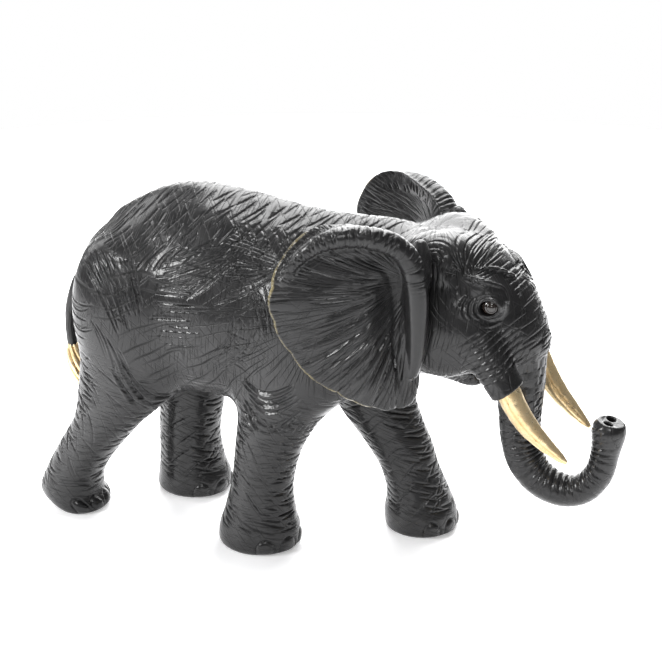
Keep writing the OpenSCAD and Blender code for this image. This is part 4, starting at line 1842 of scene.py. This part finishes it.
@dataclass
class Torso(Blank):
    """Barrel, shoulders and rump, with the seats of the legs and the neck."""

    step: float = 1.0
    low: tuple = (-142, -52, 60)
    high: tuple = (50, 52, 192)

    def build(self) -> list[Piece]:
        """Carves the torso.

        Returns:
            The one piece.
        """
        cuts = [Blocks.leg(name) for name in LEGS] + [Blocks.neck()]
        cuts += BORES.legs() + BORES.neck() + BORES.tail()
        return [self.carve("torso", self.low, self.high, [], cuts)]


@dataclass
class Head(Blank):
    """Skull, cheeks, jaw and lip sheaths, with the sockets of the eyes and the tusks."""

    step: float = 0.66
    low: tuple = (36, -44, 88)
    high: tuple = (122, 44, 190)

    def build(self) -> list[Piece]:
        """Carves the head.

        Returns:
            The one piece.
        """
        bores = BORES.neck() + BORES.trunk()
        for side in (LEFT, RIGHT):
            bores += BORES.ears(side) + BORES.tusk(side)
        return [self.carve("head", self.low, self.high, [Blocks.neck()], [Blocks.trunk(), *bores])]


@dataclass
class Trunk(Blank):
    """Trunk from below the brow to its raised tip."""

    step: float = 0.72
    low: tuple = (80, -24, 30)
    high: tuple = (162, 24, 118)

    def build(self) -> list[Piece]:
        """Carves the trunk."""
        return [self.carve("trunk", self.low, self.high, [Blocks.trunk()], BORES.trunk())]


@dataclass
class Legs(Blank):
    """The four legs, each with its share of the belly, its nails and its flat sole."""

    step: float = 0.9
    most: int = 120000
    spans: tuple = (
        ("leg_front_left", (-30, -2, -3), (72, 50, 94)),
        ("leg_front_right", (-68, -50, -3), (30, 2, 94)),
        ("leg_rear_left", (-142, -2, -3), (-52, 48, 102)),
        ("leg_rear_right", (-162, -48, -3), (-58, 2, 102)),
    )

    def build(self) -> list[Piece]:
        """Carves the legs."""
        return [self.carve(name, low, high, [Blocks.leg(name)], BORES.legs(name))
                for name, low, high in self.spans]


@dataclass(frozen=True)
class EarSheet:
    """Ear as a shaped sheet, in its own frame: x back from the hinge, y outwards, z up."""

    rows: tuple = (
        (187, 36, 46, 2), (184.5, 26, 53, 3), (179, 13, 60, 4), (170, 6, 67, 5), (159, 3, 72, 6),
        (148, 3, 73, 6.5), (136, 3, 70, 6.5), (124, 2, 64, 6), (113, 1, 56, 5), (104, 1, 45, 4),
        (97, 3, 31, 3), (92.5, 8, 18, 2),
    )
    centre: tuple = (5.0, 157.0)
    thick: float = 3.4

    def polar(self, s: Floats, z: Floats) -> tuple[Floats, Floats]:
        """Distance and turn from the point that the ear's folds fan out from."""
        back, down = s - self.centre[0], self.centre[1] - z
        return np.hypot(back, down), np.arctan2(down, back)

    def edge(self, s: Floats, z: Floats) -> Floats:
        """Signed distance from the ear's outline, negative inside, with its scalloped margin.

        Args:
            s: Distance back along the ear.
            z: Height.

        Returns:
            Distance in millimetres.
        """
        r = smooth_rows(self.rows, 5)
        rim = np.concatenate([r[:, [1, 0]], r[::-1][:, [2, 0]]])
        shape = np.broadcast(s, z).shape
        best, inside = np.full(shape, 1e9), np.zeros(shape, bool)
        for a, b in zip(rim, np.roll(rim, -1, 0)):
            d = b - a
            t = np.clip(((s - a[0]) * d[0] + (z - a[1]) * d[1]) / max(float(d @ d), 1e-9), 0.0, 1.0)
            best = np.minimum(best, (s - a[0] - d[0] * t) ** 2 + (z - a[1] - d[1] * t) ** 2)
            if a[1] != b[1]:
                inside ^= ((a[1] > z) != (b[1] > z)) & (s < a[0] + (z - a[1]) * d[0] / d[1])
        gap = np.sqrt(best) * np.where(inside, -1.0, 1.0)
        reach, turn = self.polar(s, z)
        scallop = np.abs(np.sin(9.5 * turn + 1.2 * np.sin(3.1 * turn))) ** 0.7
        return gap + 1.1 * (1.0 - scallop) * smoothstep(34.0, 48.0, reach) * smoothstep(-0.35, 0.0, turn)

    def middle(self, s: Floats, z: Floats) -> Floats:
        """How far the sheet's middle lies outwards.

        Args:
            s: Distance back along the ear.
            z: Height.

        Returns:
            Distance in millimetres.
        """
        r = smooth_rows(self.rows, 8)[::-1]
        front, back, swell = (np.interp(z, r[:, 0], r[:, k]) for k in (1, 2, 3))
        f = np.clip((s - front) / np.maximum(back - front, 1.0), 0.0, 1.0)
        reach, turn = self.polar(s, z)
        shaped = 0.9 * swell * np.sin(math.pi * f)
        shaped = shaped - 4.2 * bell(s, 16.0, 9.0) * bell(z, 150.0, 20.0)
        shaped = shaped + 2.6 * bell(s, 27.0, 6.0) * bell(z, 132.0, 24.0)
        fan = np.abs(np.sin(21.0 * turn + 1.6 * np.sin(4.0 * turn + 0.05 * reach))) ** 0.8
        window = smoothstep(17.0, 30.0, reach) * smoothstep(78.0, 62.0, reach) * smoothstep(0.12, 0.5, turn)
        waves = np.sin(6.3 * turn + 0.6) * smoothstep(30.0, 60.0, reach)
        return shaped - 1.5 * window * (1.0 - fan) + 1.3 * waves

    def distance(self, x: Floats, y: Floats, z: Floats) -> Floats:
        """Signed distance from the sheet.

        Args:
            x: Distance back along the ear.
            y: Distance out from it.
            z: Height.

        Returns:
            Distance in millimetres.
        """
        s, up = np.broadcast_arrays(x[:, :, 0], z[:, 0, :])
        s, up = s.astype(float), up.astype(float)
        edge = self.edge(s, up)
        thick = self.thick * (0.62 + 0.38 * smoothstep(0.0, -14.0, edge))
        return blend_far(np.abs(y - self.middle(s, up)[:, None, :]) - thick[:, None, :] / 2,
                         edge[:, None, :], 1.8).astype(np.float32)


SHEET = EarSheet()
EAR_ROLL = Rod(
    (
        (5, 2.0, 112, 2.6), (3.5, 3.4, 124, 4.4), (3.5, 4.2, 140, 5.2), (4.5, 4.6, 156, 5.5),
        (7.5, 4.8, 168, 5.6), (14, 5.4, 176.2, 5.6), (25, 6.0, 180.8, 5.4), (38, 6.0, 182.0, 5.0), (50, 5.2, 178.6, 4.2),
        (60, 3.6, 170.5, 3.0), (66, 2.2, 160, 1.6),
    ),
    steps=4,
)
EAR_GROOVE = (
    (9, 2.6, 99, 0.5), (11.5, 3.2, 112, 1.4), (12.8, 3.4, 124, 2.2), (12.5, 3.2, 138, 2.8),
    (13.5, 3.4, 152, 3.2), (17, 5.0, 163, 2.8), (27, 6.6, 170.4, 2.0), (40, 7.0, 171.4, 1.4),
)
EAR_ROOT = (
    (55, 33.5, 112, 4.5), (56, 33.5, 124, 6.5), (57, 33, 140, 7), (58, 31.5, 156, 7), (59, 29.5, 166, 6),
    (59, 28, 172, 3.5),
)


@dataclass
class Ear:
    """One ear, carved as a sheet and pegged to the side of the head."""

    side: float
    hinge: tuple
    sweep: float
    drop: float
    step: float = 0.66
    most: int = 180000

    def axes(self) -> tuple[Floats, Floats]:
        """Directions back along the ear and out from it, on the level.

        Returns:
            Two unit directions.
        """
        a = math.radians(self.sweep)
        return (np.array([-math.cos(a), self.side * math.sin(a)]),
                np.array([math.sin(a), self.side * math.cos(a)]))

    def to_figure(self, q: Floats) -> Floats:
        """Points of the ear's own frame as points of the figure.

        Args:
            q: Points in the ear's own frame, one a row.

        Returns:
            Points of the figure, one a row.
        """
        back, out = self.axes()
        level = np.array([self.hinge[0], self.side * self.hinge[1]]) + q[:, :1] * back + q[:, 1:2] * out
        return np.column_stack([level, q[:, 2] - self.drop])

    def to_ear(self, p: Floats) -> Floats:
        """Points of the figure in the ear's own frame.

        Args:
            p: Points of the figure, one a row.

        Returns:
            Points, one a row.
        """
        back, out = self.axes()
        level = p[:, :2] - np.array([self.hinge[0], self.side * self.hinge[1]])
        return np.column_stack([level @ back, level @ out, p[:, 2] + self.drop])

    def root(self) -> Rod:
        """The thick root, in the ear's own frame.

        Returns:
            The rod.
        """
        rows = np.array(EAR_ROOT, float)
        rows[:, 1] *= self.side
        return Rod(tuple(map(tuple, np.column_stack([self.to_ear(rows[:, :3]), rows[:, 3]]))))

    def model(self, clay: Clay) -> None:
        """Joins sheet, rolled edge and root, and fits the root to the head.

        Args:
            clay: Block of clay to work on.
        """
        clay.add(SHEET, 1.0)
        clay.add(EAR_ROLL, 2.2)
        clay.cut(Rod(EAR_GROOVE), 1.6, (0, -2, 95), (50, 16, 180))
        clay.add(self.root(), 3.0, (-12, -16, 95), (22, 16, 190))
        spans, s, w, z = clay.part((-14, -20, 80), (24, 20, 200))
        back, out = self.axes()
        x = self.hinge[0] + s * back[0] + w * out[0]
        y = self.side * self.hinge[1] + s * back[1] + w * out[1]
        head = BARREL.distance(x, y, z - self.drop)
        for form, radius, _, _ in BODY.forms():
            if form is HEAD or isinstance(form, Egg):
                head = blend_near(head, form.distance(x, y, z - self.drop), radius)
        clay.values[spans] = blend_far(clay.values[spans], -head, 0.4)

    def relief(self, q: Floats, normal: Floats) -> Floats:
        """Cuts of the ear: a fringe across the roll, and fine lines that fan over the sheet.

        Args:
            q: Points in the ear's own frame, one a row.
            normal: Unit normal at each point.

        Returns:
            Distance in millimetres.
        """
        s, w, z = q.T
        reach, turn = SHEET.polar(s, z)
        roll, along = EAR_ROLL.nearest(s, w, z)[:2]
        on_roll = smoothstep(1.6, 0.2, roll)
        outer = smoothstep(-0.3, 0.3, normal[:, 1])
        fringe = EAR_FRINGE.depth(w * 0.6 - z, along)
        lines = 0.42 * outer * EAR_LINES.depth(reach, 52.0 * turn)
        lines = lines + 0.3 * (1.0 - outer) * EAR_BACK_LINES.depth(reach, 52.0 * turn)
        sheet = (1.0 - on_roll) * smoothstep(8.0, 20.0, reach)
        return -(0.6 * on_roll * smoothstep(150.0, 168.0, z) * fringe + sheet * lines)

    def carve(self, name: str) -> Piece:
        """Makes the whole ear.

        Args:
            name: The node that the ear stands for.

        Returns:
            The finished piece.
        """
        clay = Clay((-13, -16, 88), (80, 19, 192), self.step * (1.0))
        self.model(clay)
        q, faces = clay.carved(self.relief)
        if self.side == LEFT:
            faces = faces[:, ::-1]
        raw = make_object("carved_" + name, self.to_figure(q), faces)
        piece = slimmed(divided(raw, [], [drill(*bore) for bore in BORES.ears(self.side)]), self.most)
        crisp(piece, CUT_EDGE)
        self.mark(piece)
        return Piece(piece, (name,), "lacquered_wood")

    def mark(self, obj: bpy.types.Object) -> None:
        """Leaves the flows of the fine lines, and the rim that is rubbed bright.

        Args:
            obj: Object to mark.
        """
        q = self.to_ear(places(obj.data))
        s, w, z = q.T
        reach, turn = SHEET.polar(s, z)
        roll, along = EAR_ROLL.nearest(s, w, z)[:2]
        on_roll = smoothstep(2.2, 0.4, roll)
        seed = 500.0 + 300.0 * self.side
        rolled = on_roll > 0.5
        grain_u, grain_v = np.where(rolled, w - z, reach), np.where(rolled, along, 52.0 * turn)
        weight = np.abs(2.0 * on_roll - 1.0) * np.where(rolled, smoothstep(150.0, 168.0, z), 1.0)
        put(obj.data, "grain", np.stack([grain_u + seed, grain_v, weight], 1))
        put(obj.data, "fan", np.stack([reach + seed, 60.0 * turn, 1.0 - on_roll], 1))
        edge = SHEET.edge(s, z)
        worn = smoothstep(-2.4, -0.4, edge) * smoothstep(26.0, 34.0, reach)
        worn = worn * smoothstep(-0.75, -0.35, turn) * smoothstep(1.5, 1.3, turn)
        layer = obj.data.attributes.new("rim", "FLOAT", "POINT")
        layer.data.foreach_set("value", np.clip(worn, 0.0, 1.0).astype(np.float32))


def swept_rod_tree() -> bpy.types.NodeTree:
    """Geometry Nodes tree that sweeps a round, fluted and dented rod along a line of points.

    Returns:
        Tree with inputs Sides, Flutes, Flute Depth, Sharpness, Twist, Dents, Dent Size, Seed and Finish. It
        reads the attribute "girth", each point's radius, and leaves "along", "around" and "crease", 0 to 1.
    """
    tree = bpy.data.node_groups.new("swept_rod", "GeometryNodeTree")
    tree.interface.new_socket("Geometry", in_out="INPUT", socket_type="NodeSocketGeometry")
    for name, kind, value in (
        ("Sides", "Int", 64), ("Flutes", "Float", 1.0), ("Flute Depth", "Float", 0.0),
        ("Sharpness", "Float", 0.5), ("Twist", "Float", 0.0), ("Dents", "Float", 0.0),
        ("Dent Size", "Float", 200.0), ("Seed", "Float", 0.0), ("Finish", "Material", None),
    ):
        socket = tree.interface.new_socket(name, in_out="INPUT", socket_type="NodeSocket" + kind)
        if value is not None:
            socket.default_value = value
    tree.interface.new_socket("Geometry", in_out="OUTPUT", socket_type="NodeSocketGeometry")
    w = Wire(tree)
    given = tree.nodes.new("NodeGroupInput").outputs
    path = w.node("GeometryNodeMeshToCurve", {"Mesh": given["Geometry"]}).outputs[0]
    path = w.stored(path, "along", w.node("GeometryNodeSplineParameter").outputs["Factor"])
    ring = w.node("GeometryNodeCurvePrimitiveCircle", {"Resolution": given["Sides"], "Radius": 1.0}).outputs[0]
    ring = w.stored(ring, "around", w.node("GeometryNodeSplineParameter").outputs["Factor"])
    tube = w.node("GeometryNodeCurveToMesh", {"Curve": path, "Profile Curve": ring, "Scale": w.read("girth"),
                                              "Fill Caps": True}).outputs[0]
    along = w.read("along")
    turn = w.times(w.plus(w.read("around"), w.times(along, given["Twist"])), given["Flutes"])
    wave = w.sum("POWER", w.sum("ABSOLUTE", w.sum("SINE", w.times(turn, math.pi))), given["Sharpness"])
    flute = w.times(w.less(wave, 1.0), given["Flute Depth"])
    flute = w.times(flute, w.less(1.0, w.sum("POWER", along, 6.0)))
    noise = w.node("ShaderNodeTexNoise", {"Vector": w.node("GeometryNodeInputPosition").outputs[0],
                                          "W": given["Seed"], "Scale": given["Dent Size"], "Detail": 2.0},
                   noise_dimensions="4D").outputs[0]
    dents = w.times(w.less(noise, 0.5), given["Dents"])
    tube = w.stored(tube, "crease", w.less(1.0, wave))
    push = w.node("ShaderNodeVectorMath", {0: w.node("GeometryNodeInputNormal").outputs["Normal"],
                                           "Scale": w.plus(flute, dents)}, operation="SCALE").outputs[0]
    moved = w.node("GeometryNodeSetPosition", {"Geometry": tube, "Offset": push}).outputs[0]
    real = w.node("GeometryNodeRealizeInstances", {"Geometry": moved}).outputs[0]
    dressed = w.node("GeometryNodeSetMaterial", {"Geometry": real, "Material": given["Finish"]}).outputs[0]
    w.node("NodeGroupOutput", {"Geometry": dressed})
    return tree


@dataclass(frozen=True)
class Sweeper:
    """Makes turned and fluted rods with the shared tree."""

    tree: bpy.types.NodeTree

    def run(self, name: str, rows: Floats, finish: bpy.types.Material, **sizes: float) -> bpy.types.Object:
        """Sweeps one rod.

        Args:
            name: Name of the finished object.
            rows: Points along the rod as x, y, z and radius, in millimetres.
            finish: Material of the rod.
            sizes: The tree's inputs by name, with underscores for spaces.

        Returns:
            A plain mesh object at the origin.
        """
        line = bpy.data.meshes.new(name + "_line")
        line.from_pydata([tuple(r[:3] * MM) for r in rows], [(k, k + 1) for k in range(len(rows) - 1)], [])
        girth = line.attributes.new("girth", "FLOAT", "POINT")
        girth.data.foreach_set("value", (rows[:, 3] * MM).astype(np.float32))
        obj = hung(name, line)
        step = obj.modifiers.new("sweep", "NODES")
        step.node_group = self.tree
        wanted = {key.replace("_", " "): value for key, value in sizes.items()} | {"Finish": finish}
        for item in self.tree.interface.items_tree:
            if item.in_out == "INPUT" and item.name in wanted:
                step[item.identifier] = wanted[item.name]
        made = evaluated(obj)
        obj.modifiers.clear()
        obj.data = made
        bpy.data.meshes.remove(line)
        made.name = name
        crisp(obj, SWEPT_EDGE)
        return obj


TUSK_ROWS = (
    (100.6, 25, 108.4, 5.8), (103, 25.2, 105, 5.8), (107.5, 25.2, 96.5, 5.55), (113.5, 24.6, 88, 4.95),
    (121, 23.6, 80.5, 3.8), (128, 22.6, 74.5, 2.45), (131.5, 22.2, 71.8, 1.1), (132.2, 22.1, 71.3, 0.25),
)


@dataclass
class Tusk:
    """Gilded tusk with the tenon that is glued into the lip."""

    side: float
    sweeper: Sweeper
    gold: bpy.types.Material

    def build(self, name: str) -> Piece:
        """Sweeps the tusk, its tenon first.

        Args:
            name: Name of the piece.

        Returns:
            The piece.
        """
        shown = smooth_rows(TUSK_ROWS, 14)
        tenon = np.array([(93.1, 22.2, 118.5, 3.1), (93.5, 22.3, 118.0, 3.5), (100.2, 24.2, 108.8, 3.5)])
        rows = np.concatenate([tenon, shown]) * (1.0, self.side, 1.0, 1.0)
        obj = self.sweeper.run("gilded_" + name, rows, self.gold, Sides=96, Flutes=2.0, Flute_Depth=0.0007,
                               Sharpness=0.22, Twist=0.06, Dents=0.0005, Dent_Size=240.0,
                               Seed=2.0 + self.side)
        return Piece(obj, (name,), "gilded_wood")


TAIL_ROWS = (
    (-131, 0, 128.8, 3.8), (-135, 0, 126, 3.8), (-140, 0, 118.5, 3.6), (-144.5, 0, 107, 3.35),
    (-146.4, 0, 95, 3.1), (-146, 0, 84, 2.95), (-145.6, 0, 81, 2.8),
)
TUFT_ROWS = (
    (-146, 0, 83.5, 1.6), (-146, 0, 83, 2.9), (-145.2, 0, 79, 4.5), (-143.4, 0, 72, 5.5), (-141, 0, 64, 4.5),
    (-138.4, 0, 57, 2.2), (-137.8, 0, 55.2, 0.5),
)


@dataclass
class Tail:
    """Pegged tail and its gilded tuft."""

    sweeper: Sweeper
    lacquer: bpy.types.Material
    gold: bpy.types.Material

    def build(self) -> list[Piece]:
        """Sweeps the tail with its peg, and the tuft of locks.

        Returns:
            The tail and the tuft.
        """
        peg = np.array([(-122.7, 0, 137.9, 2.1), (-123.0, 0, 137.6, 2.5), (-130.7, 0, 129.1, 2.5)])
        rows = np.concatenate([peg, smooth_rows(TAIL_ROWS, 10)])
        tail = self.sweeper.run("carved_tail", rows, self.lacquer, Sides=40, Flutes=3.0, Flute_Depth=0.0004,
                                Sharpness=0.7, Twist=0.4, Dents=0.0006, Dent_Size=260.0, Seed=5.0)
        self.mark(tail)
        tuft = self.sweeper.run("gilded_tuft", smooth_rows(TUFT_ROWS, 9), self.gold, Sides=96, Flutes=9.0,
                                Flute_Depth=0.0011, Sharpness=0.55, Twist=0.22, Dents=0.0008, Dent_Size=260.0,
                                Seed=7.0)
        return [Piece(tail, ("tail",), "lacquered_wood"), Piece(tuft, ("tail_tuft",), "gilded_wood")]

    def mark(self, obj: bpy.types.Object) -> None:
        """Leaves the flows of the fine lines on the tail, from the sweep's own directions.

        Args:
            obj: Object to mark.
        """
        count = len(obj.data.vertices)
        along, around = np.zeros(count, np.float32), np.zeros(count, np.float32)
        obj.data.attributes["along"].data.foreach_get("value", along)
        obj.data.attributes["around"].data.foreach_get("value", around)
        put(obj.data, "grain", np.stack([60.0 * along, 22.0 * around, np.ones(count)], 1))
        put(obj.data, "fan", np.zeros((count, 3)))


@dataclass
class Eye:
    """Glass-smooth bead with a cut ring round the pupil."""

    side: float
    radius: float = EYE_RADIUS
    sides: int = 64
    play: float = 0.04
    rings: tuple = ((0.22, 2.55, 0.24), (0.12, 1.25, 0.2))

    def build(self, name: str) -> Piece:
        """Turns the bead on a lathe about the axis that it looks along.

        Args:
            name: Name of the piece.

        Returns:
            The piece.
        """
        rows = []
        for k in range(1, self.sides):
            a = math.pi * k / self.sides
            off = a * self.radius
            ring = sum(deep * math.exp(-(((off - at) / wide) ** 2)) for deep, at, wide in self.rings)
            r = self.radius - self.play - ring
            rows.append((r * math.sin(a), r * math.cos(a)))
        turn = 2.0 * math.pi * np.arange(self.sides) / self.sides
        look = np.array([0.26, 0.96 * self.side, 0.06])
        look /= np.linalg.norm(look)
        across = np.cross(look, (0.0, 0.0, 1.0))
        across /= np.linalg.norm(across)
        up = np.cross(across, look)
        centre = np.array([EYE[0], self.side * EYE[1], EYE[2]])
        points = [centre + d * look + r * (np.cos(t) * across + np.sin(t) * up) for r, d in rows for t in turn]
        points += [centre + end * (self.radius - self.play) * look for end in (1.0, -1.0)]
        n, last = self.sides, len(rows) - 1
        faces = [(j * n + k, (j + 1) * n + k, (j + 1) * n + (k + 1) % n, j * n + (k + 1) % n)
                 for j in range(last) for k in range(n)]
        faces += [(len(rows) * n, k, (k + 1) % n) for k in range(n)]
        faces += [(len(rows) * n + 1, last * n + (k + 1) % n, last * n + k) for k in range(n)]
        mesh = bpy.data.meshes.new("turned_" + name)
        mesh.from_pydata([tuple(v * MM) for v in points], [], faces)
        mesh.shade_smooth()
        return Piece(hung("turned_" + name, mesh), (name,), "black_bead")


@dataclass
class Studio:
    """White sweep, soft lights and the camera."""

    azimuth: float = 22.0
    elevation: float = 21.5
    distance: float = 0.9
    lens: float = 97.9
    aim: tuple = (0.003, 0.0, 0.1115)
    paper: float = 0.85
    room: float = 0.14
    lights: tuple = (
        ("top_softbox", (-0.1, 0.3, 0.95), (0.0, 0.0, 0.12), 0.7, 16.0),
        ("back_softbox", (-0.35, 1.25, 0.6), (0.0, 0.0, 0.10), 1.5, 40.0),
        ("front_softbox", (0.5, -1.1, 0.9), (0.0, 0.0, 0.10), 0.45, 5.0),
        ("side_softbox", (-0.67, -0.74, 0.55), (0.0, 0.0, 0.12), 0.34, 8.5),
        ("rim_softbox", (-0.95, 0.15, 0.55), (-0.05, 0.0, 0.12), 0.5, 3.0),
    )

    def build(self) -> None:
        """Sets up the floor, the world, the lights and the camera."""
        bpy.context.scene.view_settings.view_transform = "Standard"
        self.floor()
        self.world()
        for light in self.lights:
            self.softbox(*light)
        self.camera()

    def floor(self) -> None:
        """Lays a round sheet of matt white paper, lit a little from below, under the soles."""
        turns = [2.0 * math.pi * k / 96 for k in range(96)]
        mesh = bpy.data.meshes.new("paper")
        edge = [(self.paper * math.cos(t), self.paper * math.sin(t), 0) for t in turns]
        mesh.from_pydata(edge, [], [range(len(edge))])
        mat = bpy.data.materials.new("white_paper")
        mat.use_nodes = True
        shader = mat.node_tree.nodes["Principled BSDF"]
        shader.inputs["Base Color"].default_value = (0.93, 0.93, 0.94, 1)
        shader.inputs["Roughness"].default_value = 0.55
        shader.inputs["Emission Color"].default_value = (1.0, 1.0, 1.0, 1)
        shader.inputs["Emission Strength"].default_value = 0.30
        mesh.materials.append(mat)
        hung("paper", mesh)

    def world(self) -> None:
        """Fills the room with even white light."""
        world = bpy.data.worlds.new("white_room")
        bpy.context.scene.world = world
        world.use_nodes = True
        w = Wire(world.node_tree)
        seen = w.node("ShaderNodeLightPath").outputs["Is Camera Ray"]
        bright = w.spread(seen, self.room, 1.0)
        back = world.node_tree.nodes["Background"]
        back.inputs[0].default_value = (1.0, 1.0, 1.0, 1)
        world.node_tree.links.new(bright, back.inputs[1])

    def softbox(self, name: str, place: tuple, towards: tuple, size: float, power: float) -> None:
        """Hangs one square area light, in metres and watts.

        Args:
            name: Name of the piece.
            place: Where the light hangs.
            towards: Point that it faces.
            size: Length of a side.
            power: Power.
        """
        light = bpy.data.lights.new(name, "AREA")
        light.size, light.energy = size, power
        obj = hung(name, light)
        obj.location = place
        obj.rotation_euler = (Vector(towards) - Vector(place)).to_track_quat("-Z", "Y").to_euler()

    def camera(self) -> None:
        """Places the camera, level with the horizon line."""
        data = bpy.data.cameras.new("camera")
        data.lens, data.clip_start, data.clip_end = self.lens, 0.05, 50.0
        obj = hung("camera", data)
        a, e = math.radians(self.azimuth), math.radians(self.elevation)
        back = Vector((math.sin(a) * math.cos(e), -math.cos(a) * math.cos(e), math.sin(e)))
        obj.location = Vector(self.aim) + back * self.distance
        obj.rotation_mode = "QUATERNION"
        obj.rotation_quaternion = (-back).to_track_quat("-Z", "Y")
        bpy.context.scene.camera = obj


def main() -> None:
    """Builds the studio and every sub-assembly in order, and dresses and fixes each piece."""
    logging.basicConfig(level=logging.INFO, format="%(message)s")
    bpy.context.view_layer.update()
    groups = {"cuts": fine_cuts_group(), "wear": wear_group()}
    lacquer = Lacquer("black_lacquer").build(groups)
    ear_lacquer = Lacquer("ear_lacquer", worn_edge=True).build(groups)
    gold = GoldLeaf("gold_leaf").build(groups)
    bead = Bead("black_bead").build(groups)
    beech = RawBeech("raw_beech").build(groups)
    Studio().build()
    sweeper = Sweeper(swept_rod_tree())
    for blank in (Torso(), Head(), Trunk(), Legs()):
        for piece in blank.build():
            piece.place(lacquer)
    Ear(RIGHT, (63, 33), 28.0, 0.0).carve("ear_right").place(ear_lacquer)
    Ear(LEFT, (55, 36.1), 25.0, 6.0).carve("ear_left").place(ear_lacquer)
    for name, side in (("tusk_left", LEFT), ("tusk_right", RIGHT)):
        Tusk(side, sweeper, gold).build(name).place(gold)
    tail, tuft = Tail(sweeper, lacquer, gold).build()
    tail.place(lacquer)
    tuft.place(gold)
    for name, side in (("eye_left", LEFT), ("eye_right", RIGHT)):
        Eye(side).build(name).place(bead)
    for name in ("neck_dowels", "trunk_dowel", "leg_dowels", "ear_dowels"):
        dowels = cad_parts[name].data
        dowels.materials.clear()
        dowels.materials.append(beech)
        log.info("%s: dressed in beech", name)


if __name__ == "__main__":
    main()
